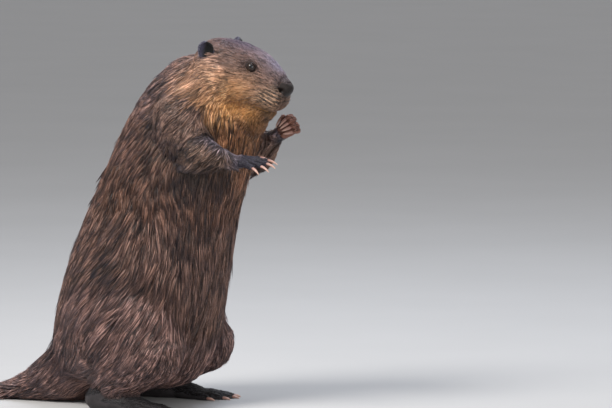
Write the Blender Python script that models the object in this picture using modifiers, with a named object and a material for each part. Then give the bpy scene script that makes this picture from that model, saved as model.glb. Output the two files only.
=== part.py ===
"""A life-size North American beaver standing up on its hind feet and tail, with one forepaw held out
level in front of it and the other curled under its chin. Metres, +Z up, +X the way the beaver faces
and +Y its left. Every solid reaches out to the tips of the coat."""

import math

import bmesh
import bpy
from mathutils import Matrix, Vector

CM = 0.01
GAP = 0.0004                 # air left between solids that meet
RIGHT, LEFT = -1, 1          # the side a limb is on, as the sign of its Y

# Trunk and neck, from the rump up to the nape. Each ring is given in centimetres by its point on the
# back (x, z), its point on the belly (x, z) and its half width.
TRUNK_RINGS = (
    (-8.0, 2.8, 7.0, 2.0, 6.6),
    (-11.2, 5.4, 10.8, 3.8, 9.8),
    (-11.4, 9.5, 12.7, 8.2, 11.4),
    (-10.6, 14.5, 13.8, 13.2, 11.9),
    (-9.1, 19.5, 14.5, 18.5, 11.8),
    (-7.3, 24.5, 15.4, 23.5, 11.2),
    (-4.9, 30.0, 16.4, 28.0, 10.2),
    (-2.4, 35.5, 17.6, 32.0, 9.3),
    (-0.2, 40.8, 18.8, 35.5, 8.6),
    (2.9, 45.5, 19.4, 38.3, 7.9),
    (6.8, 49.7, 19.2, 40.6, 7.2),
    (11.8, 51.8, 18.8, 42.6, 6.4),
)

# Head, in its own frame of forward, left and up, in centimetres. Each ring is its top (forward, up),
# its underside (forward, up), its half width, and how much narrower the top is than the underside.
HEAD_PLACE = (17.0, 0.0, 47.4)
HEAD_PITCH = math.radians(22.0)
HEAD_RINGS = (
    (-6.8, 3.0, -5.6, -3.6, 5.2, 0.05),
    (-5.2, 3.9, -4.6, -5.0, 6.4, 0.10),
    (-3.2, 4.55, -2.8, -5.1, 6.7, 0.16),
    (-1.0, 4.9, -0.6, -4.8, 6.3, 0.20),
    (1.2, 5.0, 1.4, -4.2, 5.4, 0.22),
    (3.2, 4.7, 3.2, -3.7, 4.5, 0.22),
    (4.9, 4.0, 4.8, -3.3, 3.6, 0.18),
    (6.3, 3.1, 6.1, -2.9, 3.0, 0.16),
    (7.4, 2.3, 7.1, -2.5, 2.4, 0.20),
    (7.9, 1.5, 7.5, -1.9, 1.6, 0.15),
)
EYE_PLACE = (2.45, 3.35, 2.75)           # forward, sideways, up in the head's frame
EYE_RADIUS = 0.62
EAR_PLACE = (-4.0, 5.5, 2.75)
EAR_HEIGHT, EAR_WIDTH, EAR_DEPTH = 3.0, 2.5, 1.5
EAR_FACES, EAR_LEANS_OUT, EAR_LEANS_BACK = math.radians(52.0), math.radians(24.0), math.radians(14.0)
EAR_BOWL_WIDTH, EAR_BOWL_HEIGHT = 0.74, 0.76           # shares of the ear's own
EAR_BOWL_FORWARD, EAR_BOWL_RAISED = 0.83, 0.08
WHISKER_PAD = (6.0, 1.45, -0.75)
WHISKER_PAD_SIZE = (2.0, 1.75, 1.85)
NOSE_PLACE = (7.0, 0.0, 1.3)
NOSE_SIZE = (1.4, 1.75, 1.35)
NOSTRIL_PLACE = (7.3, 1.62, 1.4)
NOSTRIL_RADIUS = 0.36
MOUTH_BACK, MOUTH_LEVEL = 4.0, -2.35     # how far back the mouth runs, and its height
MUZZLE_BOX = 9.0                         # longer than the muzzle each way
CHIN = (5.35, 0.0, -3.0)
CHIN_SIZE = (1.85, 1.9, 1.5)
THROAT = (3.85, 0.0, -5.3)
THROAT_SIZE = (2.4, 4.2, 3.5)

# Forelimbs: shoulder, elbow and wrist of each, with the radii there.
ARM_JOINTS = {
    RIGHT: ((10.6, -7.0, 41.8), (14.5, -9.5, 37.7), (19.8, -6.9, 35.9)),
    LEFT: ((11.8, 6.9, 41.2), (17.0, 7.0, 36.3), (21.7, 4.3, 39.3)),
}
ARM_RADII = (3.7, 2.75, 1.08)
WRIST_LENGTH, WRIST_HALF_WIDTH, WRIST_HALF_DEPTH = 1.5, 1.2, 0.98
PALM_LENGTH, PALM_WIDTH, PALM_DEPTH = 2.7, 2.9, 1.4
FINGER_LENGTHS = (1.1, 1.9, 2.2, 2.1, 1.6)
FINGER_RADIUS = 0.40
FINGER_SWELLS = (1.05, 1.0, 1.03, 0.98, 0.95, 0.72)    # of that radius, from the root to the tip
FINGER_SPREAD = math.radians(12.0)
FINGER_ROOT = 0.5                        # how much of a finger is inside the palm
KNUCKLE_LINE, KNUCKLE_ARCH = 0.84, 0.03  # where the fingers leave, as shares of the palm's length
KNUCKLE_GAP = 0.215                      # from one finger to the next, as a share of the palm's width
THUMB_LINE, THUMB_THICKNESS = 0.52, 0.85
FORE_CLAW = (1.45, 0.23)                 # length, root radius
FORE_CLAW_HOOK = math.radians(26.0)

# Forepaw frames: the way the fingers start, the way the back of the hand faces, and how far they curl.
HAND_FRAMES = {
    RIGHT: ((0.985, -0.17, 0.03), (0.0, -0.30, 0.95), math.radians(12.0)),
    LEFT: ((0.79, -0.06, 0.61), (0.08, 0.98, 0.0), math.radians(170.0)),
}

# Hind limbs.
THIGH_PLACE = (2.4, 7.6, 11.4)
THIGH_SIZE = (8.8, 5.4, 9.3)
THIGH_LEAN = math.radians(-14.0)
KNEE, ANKLE = (7.6, 9.0, 8.2), (0.2, 8.3, 3.2)
SHANK_RADII = (4.4, 2.6)
HEEL = (-2.4, 7.9, 1.08)
FOOT_TURN = math.radians(10.0)           # toes point outwards by this much
SOLE_LENGTH, SOLE_WIDTH = 8.6, 4.3
INSTEP = ((0.6, 0.0, 0.6), (3.2, 0.0, 1.6))    # from the heel towards the shin
INSTEP_RADII = (1.7, 1.9)
FOOT_PADS = (                            # the places and radii of the heel, the arch and the ball
    ((1.2, 0.0, 0.35), (2.3, 1.6, 1.75)),
    ((SOLE_LENGTH * 0.52, 0.0, 0.05), (SOLE_LENGTH * 0.56, SOLE_WIDTH * 0.47, 1.45)),
    ((SOLE_LENGTH * 0.86, 0.0, -0.25), (2.6, SOLE_WIDTH * 0.58, 1.1)),
)
TOE_LENGTHS = (4.2, 5.6, 6.3, 6.3, 5.2)
TOE_RADIUS = 0.62
TOE_SWELLS = (1.1, 1.0, 1.04, 0.94, 0.9, 0.68)
TOE_SPREAD, TOE_DROOP = math.radians(9.5), math.radians(9.0)
TOE_LINE, TOE_ARCH, TOE_GAP, TOE_LEVEL = 0.93, 0.02, 0.205, -0.45
WEB_THICKNESS, WEB_HOLLOW, WEB_REACH, WEB_LEVEL = 0.36, 0.14, 0.94, -0.85
HIND_CLAW = (1.5, 0.3)
HIND_CLAW_HOOK = math.radians(20.0)

# Tail: back along the floor from the rump, in the same form as the trunk's rings.
TAIL_ROOT_RINGS = (
    (-4.0, 11.0, -4.0, 0.6, 6.2),
    (-10.2, 9.6, -9.0, -0.3, 6.0),
    (-13.0, 6.8, -12.4, -0.4, 5.1),
    (-15.2, 4.9, -15.0, -0.4, 4.5),
    (-17.4, 3.4, -17.2, -0.4, 4.2),
    (-20.0, 2.1, -20.0, -0.4, 4.3),
    (-23.0, 1.7, -23.0, -0.4, 4.4),
)
TAIL_BLADE_RINGS = (
    (-14.0, 2.9, -14.0, -0.4, 3.9),
    (-17.0, 2.5, -17.0, -0.4, 4.0),
    (-19.6, 1.95, -19.6, -0.4, 4.5),
    (-22.4, 1.6, -22.4, -0.4, 5.4),
    (-26.0, 1.5, -26.0, -0.4, 6.2),
    (-31.0, 1.4, -31.0, -0.4, 6.6),
    (-37.0, 1.2, -37.0, -0.4, 6.1),
    (-41.5, 0.95, -41.5, -0.4, 4.5),
    (-44.0, 0.7, -44.0, -0.3, 2.2),
)
TAIL_SEAM = -18.8                        # where the fur ends and the scales begin

RING_SIDES = 12
RING_SWELL = 1.045                       # a subdivided 12-sided ring draws in by this much
BODY_VOXEL, PAW_VOXEL, FOOT_VOXEL = 0.0038, 0.0014, 0.0020
BODY_PASSES, PAW_PASSES, BLADE_PASSES = 8, 3, 2        # of smoothing
BODY_TRIANGLES, PAW_TRIANGLES, FOOT_TRIANGLES, BLADE_TRIANGLES = 1500, 350, 336, 180
LIMB_BEVEL = 5                           # the bevel resolution of a limb's tube
ZONE_SWELL, ZONE_SIDES, ZONE_BEVEL = 1.16, 10, 1       # the room round a limb that is parted off
ROUND, FACE_ROUND, NOSE_ROUND, NOSTRIL_ROUND, BOWL_ROUND = 24, 12, 16, 8, 10    # sides of a ball
FLOOR_SPAN, FLOOR_DEPTH = 1.2, 0.2       # metres
WELD = 1e-5

# Where the body is parted across, as two points (x, z) on each cut, with the name of what lies below.
BODY_CUTS = (
    ("rump", (-10.6, 14.6), (13.6, 12.4)),
    ("belly", (-4.6, 30.6), (16.4, 28.4)),
    ("chest", (2.0, 43.8), (18.8, 37.0)),
    ("neck", (11.0, 52.0), (18.4, 41.6)),
)
SHARP_ANGLE = math.radians(40.0)
TAIL_CUT = ((-12.6, 8.6), (-6.6, 0.0))
SHANK_CUT = ((-4.0, 2.6), (11.5, 11.2))

COLOURS = {
    "fur": ((0.13, 0.075, 0.05), 0.75),
    "hide": ((0.075, 0.068, 0.07), 0.55),
    "tail": ((0.055, 0.05, 0.05), 0.5),
    "claw": ((0.42, 0.29, 0.22), 0.4),
    "eye": ((0.012, 0.008, 0.007), 0.06),
}


def centimetres(*values):
    return Vector(values) * CM


def materials():
    """One Principled material for each finish."""
    made = {}
    for name, (colour, roughness) in COLOURS.items():
        material = bpy.data.materials.new(name)
        material.use_nodes = True
        shader = material.node_tree.nodes["Principled BSDF"]
        shader.inputs["Base Color"].default_value = (*colour, 1.0)
        shader.inputs["Roughness"].default_value = roughness
        shader.inputs["Metallic"].default_value = 0.0
        made[name] = material
    return made


# ---- meshes -------------------------------------------------------------------------------------


def new_object(name, mesh, collection):
    item = bpy.data.objects.new(name, mesh)
    collection.objects.link(item)
    return item


def baked(item):
    """The object's evaluated mesh in world space. The object itself is removed."""
    bpy.context.view_layer.update()
    graph = bpy.context.evaluated_depsgraph_get()
    mesh = bpy.data.meshes.new_from_object(item.evaluated_get(graph))
    mesh.transform(item.matrix_world)
    bpy.data.objects.remove(item)
    return mesh


def ring_mesh(rings):
    """A closed loft through elliptical rings, each given by its top, its underside and half width."""
    work = bmesh.new()
    loops = []
    for ring in rings:
        top, under, half_width = ring[0:2], ring[2:4], ring[4]
        pinch = ring[5] if len(ring) > 5 else 0.0
        middle = Vector(((top[0] + under[0]) / 2, 0.0, (top[1] + under[1]) / 2))
        rise = Vector(((top[0] - under[0]) / 2, 0.0, (top[1] - under[1]) / 2))
        loop = []
        for side in range(RING_SIDES):
            turn = 2 * math.pi * side / RING_SIDES
            across = half_width * math.cos(turn) * (1 - pinch * math.sin(turn))
            point = middle + RING_SWELL * (rise * math.sin(turn) + Vector((0.0, across, 0.0)))
            loop.append(work.verts.new(point * CM))
        loops.append(loop)
    for before, after in zip(loops, loops[1:]):
        for side in range(RING_SIDES):
            beyond = (side + 1) % RING_SIDES
            work.faces.new((before[side], before[beyond], after[beyond], after[side]))
    work.faces.new(loops[0])
    work.faces.new(loops[-1])
    bmesh.ops.recalc_face_normals(work, faces=work.faces)
    mesh = bpy.data.meshes.new("loft")
    work.to_mesh(mesh)
    work.free()
    return mesh


def loft(rings):
    """A loft made smooth by subdivision."""
    item = new_object("loft", ring_mesh(rings), bpy.context.scene.collection)
    smooth = item.modifiers.new("Smooth form", "SUBSURF")
    smooth.levels = smooth.render_levels = 2
    return baked(item)


def ball(place, size, turn=None, segments=ROUND):
    """An ellipsoid with its three radii, turned by a rotation matrix."""
    work = bmesh.new()
    bmesh.ops.create_uvsphere(work, u_segments=segments, v_segments=segments // 2, radius=1.0)
    mesh = bpy.data.meshes.new("ball")
    work.to_mesh(mesh)
    work.free()
    scale = Matrix.Diagonal((*(Vector(size) * CM), 1.0))
    mesh.transform(Matrix.Translation(centimetres(*place)) @ (turn or Matrix()) @ scale)
    return mesh


def tube(points, radii, resolution=3):
    """A tapered tube with closed ends along a smooth line. Lengths are in centimetres."""
    curve = bpy.data.curves.new("tube", "CURVE")
    curve.dimensions = "3D"
    curve.bevel_depth = CM
    curve.bevel_resolution = resolution
    curve.use_fill_caps = True
    spline = curve.splines.new("POLY")
    spline.points.add(len(points) - 1)
    for knot, point, radius in zip(spline.points, points, radii):
        knot.co = (*(Vector(point) * CM), 1.0)
        knot.radius = radius
    mesh = baked(new_object("tube", curve, bpy.context.scene.collection))
    work = bmesh.new()
    work.from_mesh(mesh)
    bmesh.ops.remove_doubles(work, verts=work.verts, dist=WELD)
    bmesh.ops.recalc_face_normals(work, faces=work.faces)
    work.to_mesh(mesh)
    work.free()
    return mesh


def sheet(outline, thickness):
    """A flat plate cut to an outline in the XY plane, in centimetres."""
    curve = bpy.data.curves.new("sheet", "CURVE")
    curve.dimensions = "2D"
    curve.fill_mode = "BOTH"
    curve.extrude = thickness * CM / 2
    spline = curve.splines.new("POLY")
    spline.points.add(len(outline) - 1)
    spline.use_cyclic_u = True
    for knot, point in zip(spline.points, outline):
        knot.co = (point[0] * CM, point[1] * CM, 0.0, 1.0)
    return baked(new_object("sheet", curve, bpy.context.scene.collection))


def joined(meshes):
    work = bmesh.new()
    for mesh in meshes:
        work.from_mesh(mesh)
    whole = bpy.data.meshes.new("joined")
    work.to_mesh(whole)
    work.free()
    return whole


def grown_together(meshes, voxel, passes, triangles):
    """Overlapping forms as one closed skin: remeshed, smoothed, and thinned to a number of triangles."""
    item = new_object("whole", joined(meshes), bpy.context.scene.collection)
    remesh = item.modifiers.new("One skin", "REMESH")
    remesh.mode = "VOXEL"
    remesh.voxel_size = voxel
    smooth = item.modifiers.new("Soften", "SMOOTH")
    smooth.factor = 0.5
    smooth.iterations = passes
    mesh = baked(item)
    item = new_object("whole", mesh, bpy.context.scene.collection)
    item.modifiers.new("Triangles", "TRIANGULATE")
    mesh = baked(item)
    item = new_object("whole", mesh, bpy.context.scene.collection)
    thin = item.modifiers.new("Fewer faces", "DECIMATE")
    thin.ratio = min(1.0, triangles / max(1, len(mesh.polygons)))
    return baked(item)


def combined(mesh, tool, operation):
    """The mesh after a Boolean with a tool mesh."""
    item = new_object("item", mesh.copy(), bpy.context.scene.collection)
    cutter = new_object("cutter", tool.copy(), bpy.context.scene.collection)
    boolean = item.modifiers.new("Cut", "BOOLEAN")
    boolean.operation = operation
    boolean.object = cutter
    made = baked(item)
    bpy.data.objects.remove(cutter)
    return made


def swollen(mesh, distance=GAP):
    """The mesh with every point moved out along its normal, used to keep two solids apart."""
    item = new_object("swollen", mesh.copy(), bpy.context.scene.collection)
    displace = item.modifiers.new("Swell", "DISPLACE")
    displace.mid_level = 0.0
    displace.strength = distance
    return baked(item)


def sliced(mesh, point, normal, keep_above):
    """The part of a closed mesh on one side of a plane, closed again, half a gap back from it."""
    work = bmesh.new()
    work.from_mesh(mesh)
    normal = Vector(normal).normalized()
    shift = normal * (GAP / 2 if keep_above else -GAP / 2)
    cut = bmesh.ops.bisect_plane(
        work,
        geom=work.verts[:] + work.edges[:] + work.faces[:],
        plane_co=Vector(point) + shift,
        plane_no=normal,
        clear_inner=keep_above,
        clear_outer=not keep_above,
    )
    rim = [item for item in cut["geom_cut"] if isinstance(item, bmesh.types.BMEdge)]
    bmesh.ops.holes_fill(work, edges=rim, sides=0)
    bmesh.ops.triangulate(work, faces=work.faces)
    bmesh.ops.recalc_face_normals(work, faces=work.faces)
    kept = bpy.data.meshes.new("slice")
    work.to_mesh(kept)
    work.free()
    return kept


def floor_block():
    """A cutter under the floor, which leaves flat soles."""
    middle = Matrix.Translation((0.0, 0.0, -FLOOR_DEPTH / 2))
    return box_mesh(middle @ Matrix.Diagonal((FLOOR_SPAN, FLOOR_SPAN, FLOOR_DEPTH, 1.0)))


def box_mesh(place):
    work = bmesh.new()
    bmesh.ops.create_cube(work, size=1.0)
    mesh = bpy.data.meshes.new("box")
    work.to_mesh(mesh)
    work.free()
    mesh.transform(place)
    return mesh


# ---- frames -------------------------------------------------------------------------------------


def head_frame():
    """Forward, left and up of the head, as a matrix from its own frame to the world."""
    return Matrix.Translation(centimetres(*HEAD_PLACE)) @ Matrix.Rotation(HEAD_PITCH, 4, "Y")


def aimed(origin, forward, up):
    """A frame whose X is forward and whose Z is as near up as it can be."""
    x = Vector(forward).normalized()
    y = Vector(up).cross(x).normalized()
    z = x.cross(y)
    turn = Matrix((x, y, z)).transposed().to_4x4()
    return Matrix.Translation(centimetres(*origin)) @ turn


def mirrored(point, side):
    return (point[0], point[1] * side, point[2])


# ---- the forms that grow together ---------------------------------------------------------------


def head_forms():
    """The head, its whisker pads, its chin and its throat, in world space."""
    forms = [loft(HEAD_RINGS), ball(CHIN, CHIN_SIZE), ball(THROAT, THROAT_SIZE)]
    for side in (RIGHT, LEFT):
        forms.append(ball(mirrored(WHISKER_PAD, side), WHISKER_PAD_SIZE))
    for form in forms:
        form.transform(head_frame())
    return forms


def arm_path(side):
    """Points down the arm from the shoulder to just past the wrist."""
    shoulder, elbow, wrist = (Vector(point) for point in ARM_JOINTS[side])
    past_wrist = wrist + (wrist - elbow).normalized()
    return [shoulder, shoulder.lerp(elbow, 0.5), elbow, elbow.lerp(wrist, 0.5), wrist, past_wrist]


def arm_forms(side, swell=1.0, bevel=LIMB_BEVEL, segments=ROUND):
    top, bend, end = (radius * swell for radius in ARM_RADII)
    radii = (top, (top + bend) / 2, bend, (bend + end) / 2, end, end)
    path = arm_path(side)
    shoulder_ball = ball(path[0], (top,) * 3, segments=segments)
    elbow_ball = ball(path[2], (bend * 1.04,) * 3, segments=segments)
    return [tube(path, radii, bevel), shoulder_ball, elbow_ball]


def thigh_form(side, swell=1.0, segments=ROUND):
    lean = Matrix.Rotation(THIGH_LEAN, 4, "Y")
    size = [radius * swell for radius in THIGH_SIZE]
    return ball(mirrored(THIGH_PLACE, side), size, lean, segments)


def shank_forms(side, swell=1.0, bevel=LIMB_BEVEL, segments=ROUND):
    knee, ankle = Vector(mirrored(KNEE, side)), Vector(mirrored(ANKLE, side))
    upper, lower = (radius * swell for radius in SHANK_RADII)
    shin = tube((knee, knee.lerp(ankle, 0.5), ankle), (upper, (upper + lower) / 2, lower), bevel)
    return [shin, ball(knee, (upper,) * 3, segments=segments)]


def whole_body():
    """Everything that wears fur, as one closed form standing on the floor."""
    forms = [loft(TRUNK_RINGS), loft(TAIL_ROOT_RINGS), *head_forms()]
    for side in (RIGHT, LEFT):
        forms += [*arm_forms(side), thigh_form(side), *shank_forms(side)]
    body = grown_together(forms, BODY_VOXEL, BODY_PASSES, BODY_TRIANGLES)
    return combined(body, floor_block(), "DIFFERENCE")


# ---- parting it ---------------------------------------------------------------------------------


def parted(body, zone):
    """What lies inside a zone, and the body without it and without the air between them."""
    inside = combined(body, zone, "INTERSECT")
    return inside, combined(body, swollen(zone), "DIFFERENCE")


def zone_of(forms):
    """One closed zone from overlapping closed forms."""
    zone = forms[0]
    for form in forms[1:]:
        zone = combined(zone, form, "UNION")
    return zone


def cut_across(body, start, end):
    """The body below and above a cut that runs through two points (x, z)."""
    point = Vector((start[0] * CM, 0.0, start[1] * CM))
    along = Vector((end[0] - start[0], 0.0, end[1] - start[1]))
    normal = Vector((-along.z, 0.0, along.x))
    return sliced(body, point, normal, keep_above=False), sliced(body, point, normal, keep_above=True)


def ear_mesh(side):
    """A thick round ear: a leaf with a bowl hollowed out of its front."""
    half_height, half_width, half_depth = EAR_HEIGHT / 2, EAR_WIDTH / 2, EAR_DEPTH / 2
    leaf = ball((0, 0, 0), (half_depth, half_width, half_height), segments=FACE_ROUND)
    bowl_size = (half_depth, half_width * EAR_BOWL_WIDTH, half_height * EAR_BOWL_HEIGHT)
    bowl_place = (half_depth * EAR_BOWL_FORWARD, 0, half_height * EAR_BOWL_RAISED)
    bowl = ball(bowl_place, bowl_size, segments=BOWL_ROUND)
    ear = combined(leaf, bowl, "DIFFERENCE")
    faces_out = Matrix.Rotation(side * EAR_FACES, 4, "Z")
    leans_out = Matrix.Rotation(-side * EAR_LEANS_OUT, 4, "X")
    leans_back = Matrix.Rotation(-EAR_LEANS_BACK, 4, "Y")
    place = Matrix.Translation(centimetres(*mirrored(EAR_PLACE, side)))
    ear.transform(head_frame() @ place @ leans_out @ leans_back @ faces_out)
    return ear


def in_head(mesh):
    mesh.transform(head_frame())
    return mesh


def face_pieces(head, body):
    """The head with its eyes, ears, nose and lower jaw parted from it."""
    pieces = {}
    for side, word in ((RIGHT, "right"), (LEFT, "left")):
        place = mirrored(EYE_PLACE, side)
        eye = ball(place, (EYE_RADIUS,) * 3, segments=FACE_ROUND)
        pieces[f"eye_{word}"] = (in_head(eye), "eye")
        socket = in_head(ball(place, (EYE_RADIUS + GAP / CM,) * 3, segments=FACE_ROUND))
        head = combined(head, socket, "DIFFERENCE")
        pieces[f"ear_{word}"] = (combined(ear_mesh(side), swollen(body), "DIFFERENCE"), "hide")

    centre = Vector((MOUTH_BACK + MUZZLE_BOX / 2, 0.0, MOUTH_LEVEL - MUZZLE_BOX / 2)) * CM
    sides = Vector((MUZZLE_BOX, 2 * MUZZLE_BOX, MUZZLE_BOX)) * CM
    place = head_frame() @ Matrix.Translation(centre)
    jaw_box = box_mesh(place @ Matrix.Diagonal((*sides, 1.0)))
    room = box_mesh(place @ Matrix.Diagonal((*(sides + Vector((2 * GAP,) * 3)), 1.0)))
    pieces["lower_jaw"] = (combined(head, jaw_box, "INTERSECT"), "fur")
    head = combined(head, room, "DIFFERENCE")

    nose = in_head(ball(NOSE_PLACE, NOSE_SIZE, segments=NOSE_ROUND))
    head = combined(head, swollen(nose), "DIFFERENCE")
    for side in (RIGHT, LEFT):
        hole = ball(mirrored(NOSTRIL_PLACE, side), (NOSTRIL_RADIUS,) * 3, segments=NOSTRIL_ROUND)
        nose = combined(nose, in_head(hole), "DIFFERENCE")
    pieces["nose"] = (nose, "hide")
    pieces["head"] = (head, "fur")
    return pieces


# ---- paws and feet ------------------------------------------------------------------------------


def digit_path(base, heading, length, curl, steps=6):
    """Points of a digit that starts level and bends towards the palm (-Z) by curl in all."""
    points = [Vector(base)]
    step = length / (steps - 1)
    for index in range(1, steps):
        bend = curl * (index - 0.5) / (steps - 1)
        flat = math.cos(bend) * step
        points.append(points[-1] + Vector((
            flat * math.cos(heading),
            flat * math.sin(heading),
            -math.sin(bend) * step,
        )))
    return points


def claw_mesh(path, heading, size, curl):
    """A claw that goes on from the end of a digit and hooks down."""
    length, radius = size
    along = (path[-1] - path[-2]).normalized()
    hinge = Vector((-math.sin(heading), math.cos(heading), 0.0))
    points, steps = [path[-1] - along * radius * 1.2], 4
    for index in range(1, steps):
        turn = Matrix.Rotation(curl * index / (steps - 1), 3, hinge)
        points.append(points[-1] + turn @ along * (length + radius) / (steps - 1))
    return tube(points, (radius, radius * 0.9, radius * 0.62, radius * 0.12), 1)


def paw_pieces(paw, claws, name, claw_name):
    """The paw, and its claws cut back to where they leave it and to the floor."""
    pieces = {name: (paw, "hide")}
    block = swollen(paw)
    for index, claw in enumerate(claws):
        claw = combined(combined(claw, block, "DIFFERENCE"), floor_block(), "DIFFERENCE")
        pieces[f"{claw_name}_{index + 1}"] = (claw, "claw")
    return pieces


def forepaw_pieces(side, word):
    """A forepaw with its five fingers and its five claws, cut square at the wrist."""
    forward, back_faces, curl = HAND_FRAMES[side]
    frame = aimed(ARM_JOINTS[side][2], forward, back_faces)
    parts = [
        ball((PALM_LENGTH * 0.52, 0, 0), (PALM_LENGTH * 0.64, PALM_WIDTH / 2, PALM_DEPTH / 2)),
        ball((0.2, 0, 0), (WRIST_LENGTH, WRIST_HALF_WIDTH, WRIST_HALF_DEPTH)),
    ]
    claws = []
    for index, length in enumerate(FINGER_LENGTHS):
        rank = index - 2
        heading = side * rank * FINGER_SPREAD
        start, thick = KNUCKLE_LINE - KNUCKLE_ARCH * rank * rank, FINGER_RADIUS
        if index == 0:
            start, thick = THUMB_LINE, FINGER_RADIUS * THUMB_THICKNESS
        base = (PALM_LENGTH * start, side * rank * PALM_WIDTH * KNUCKLE_GAP, -0.05)
        path = digit_path(base, heading, length + FINGER_ROOT, curl)
        parts.append(tube(path, [thick * swell for swell in FINGER_SWELLS]))
        claws.append(claw_mesh(path, heading, FORE_CLAW, FORE_CLAW_HOOK))
    paw = grown_together(parts, PAW_VOXEL, PAW_PASSES, PAW_TRIANGLES)
    for mesh in (paw, *claws):
        mesh.transform(frame)
    wrist, away = wrist_plane(side)
    paw = sliced(paw, wrist, away, keep_above=True)
    return paw_pieces(paw, claws, f"forepaw_{word}", f"claw_fore_{word}")


def wrist_plane(side):
    _, elbow, wrist = (Vector(point) for point in ARM_JOINTS[side])
    return wrist * CM, (wrist - elbow).normalized()


def web_outline(tips, roots):
    """The outline of the webs: out to each toe, in to a hollow between toes, and back to the sole."""
    outline = []
    for index, tip in enumerate(tips):
        outline.append(tip)
        if index + 1 < len(tips):
            between = (tip + tips[index + 1]) / 2
            outline.append(between.lerp((roots[index] + roots[index + 1]) / 2, WEB_HOLLOW))
    return [*outline, *reversed(roots)]


def foot_pieces(side, word):
    """A hind foot with five webbed toes, and its claws, standing flat on the floor."""
    outwards = Matrix.Rotation(side * FOOT_TURN, 4, "Z")
    frame = Matrix.Translation(centimetres(*mirrored(HEEL, side))) @ outwards
    parts = [ball(pad, size) for pad, size in FOOT_PADS]
    parts.append(tube(INSTEP, INSTEP_RADII, LIMB_BEVEL))
    claws, tips, roots = [], [], []
    for index, length in enumerate(TOE_LENGTHS):
        rank = index - 2
        heading = side * rank * TOE_SPREAD
        start = SOLE_LENGTH * (TOE_LINE - TOE_ARCH * rank * rank)
        base = (start, side * rank * SOLE_WIDTH * TOE_GAP, TOE_LEVEL)
        path = digit_path(base, heading, length, TOE_DROOP)
        parts.append(tube(path, [TOE_RADIUS * swell for swell in TOE_SWELLS]))
        claws.append(claw_mesh(path, heading, HIND_CLAW, HIND_CLAW_HOOK))
        roots.append(path[0])
        tips.append(path[0].lerp(path[-1], WEB_REACH))
    web = sheet(web_outline(tips, roots), WEB_THICKNESS)
    web.transform(Matrix.Translation((0.0, 0.0, WEB_LEVEL * CM)))
    parts.append(web)
    foot = grown_together(parts, FOOT_VOXEL, PAW_PASSES, FOOT_TRIANGLES)
    for mesh in (foot, *claws):
        mesh.transform(frame)
    foot = combined(foot, floor_block(), "DIFFERENCE")
    return paw_pieces(foot, claws, f"hind_foot_{word}", f"claw_hind_{word}")


# ---- the whole beaver ---------------------------------------------------------------------------


def all_pieces():
    body = whole_body()
    rest = body
    pieces = {}
    feet = []
    for side, word in ((RIGHT, "right"), (LEFT, "left")):
        pieces.update(forepaw_pieces(side, word))
        pieces.update(foot_pieces(side, word))
        feet.append(swollen(pieces[f"hind_foot_{word}"][0]))

        arm, rest = parted(rest, zone_of(arm_forms(side, ZONE_SWELL, ZONE_BEVEL, ZONE_SIDES)))
        arm = sliced(arm, *wrist_plane(side), keep_above=False)
        shoulder, elbow, wrist = (Vector(point) for point in ARM_JOINTS[side])
        fold = (elbow - shoulder).normalized() + (wrist - elbow).normalized()
        pieces[f"upper_arm_{word}"] = (sliced(arm, elbow * CM, fold, keep_above=False), "fur")
        pieces[f"forearm_{word}"] = (sliced(arm, elbow * CM, fold, keep_above=True), "fur")

        shank_zone = shank_forms(side, ZONE_SWELL, ZONE_BEVEL, ZONE_SIDES)
        leg, rest = parted(rest, zone_of([thigh_form(side, ZONE_SWELL, ZONE_SIDES), *shank_zone]))
        shank, thigh = cut_across(combined(leg, feet[-1], "DIFFERENCE"), *SHANK_CUT)
        pieces[f"thigh_{word}"] = (thigh, "fur")
        pieces[f"shank_{word}"] = (shank, "fur")
    for foot in feet:
        rest = combined(rest, foot, "DIFFERENCE")

    tail, rest = cut_across(rest, *TAIL_CUT)
    seam = centimetres(TAIL_SEAM, 0.0, 0.0)
    blade = grown_together([loft(TAIL_BLADE_RINGS)], FOOT_VOXEL, BLADE_PASSES, BLADE_TRIANGLES)
    blade = combined(blade, floor_block(), "DIFFERENCE")
    pieces["tail_root"] = (sliced(tail, seam, (1, 0, 0), keep_above=True), "fur")
    pieces["tail_blade"] = (sliced(blade, seam, (1, 0, 0), keep_above=False), "tail")
    for name, start, end in BODY_CUTS:
        below, rest = cut_across(rest, start, end)
        pieces[name] = (below, "fur")
    pieces.update(face_pieces(rest, body))
    return pieces


def largest_island(mesh):
    """The mesh without the crumbs that a cut leaves beside the solid meant."""
    work = bmesh.new()
    work.from_mesh(mesh)
    left = set(work.faces)
    islands = []
    while left:
        front = [left.pop()]
        island = set(front)
        while front:
            face = front.pop()
            pairs = [edge.link_faces for edge in face.edges if len(edge.link_faces) == 2]
            for near in (near for pair in pairs for near in pair if near in left):
                left.discard(near)
                island.add(near)
                front.append(near)
        islands.append(island)
    biggest = max(islands, key=len)
    crumbs = [face for island in islands if island is not biggest for face in island]
    bmesh.ops.delete(work, geom=crumbs, context="FACES")
    work.to_mesh(mesh)
    work.free()
    return mesh


def main():
    for item in list(bpy.data.objects):
        bpy.data.objects.remove(item)
    pieces = all_pieces()
    finishes = materials()
    beaver = bpy.data.collections.new("beaver")
    bpy.context.scene.collection.children.link(beaver)
    stance = new_object("beaver_stance", None, beaver)
    corners = []
    for name, (mesh, finish) in pieces.items():
        mesh = largest_island(mesh)
        mesh.name = name
        mesh.materials.clear()
        mesh.materials.append(finishes[finish])
        mesh.shade_smooth()
        mesh.set_sharp_from_angle(angle=SHARP_ANGLE)
        new_object(name, mesh, beaver).parent = stance
        corners += [vertex.co for vertex in mesh.vertices]
    low = [min(corner[axis] for corner in corners) for axis in range(3)]
    high = [max(corner[axis] for corner in corners) for axis in range(3)]
    stance.location = (-(low[0] + high[0]) / 2, -(low[1] + high[1]) / 2, -low[2])


main()
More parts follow.
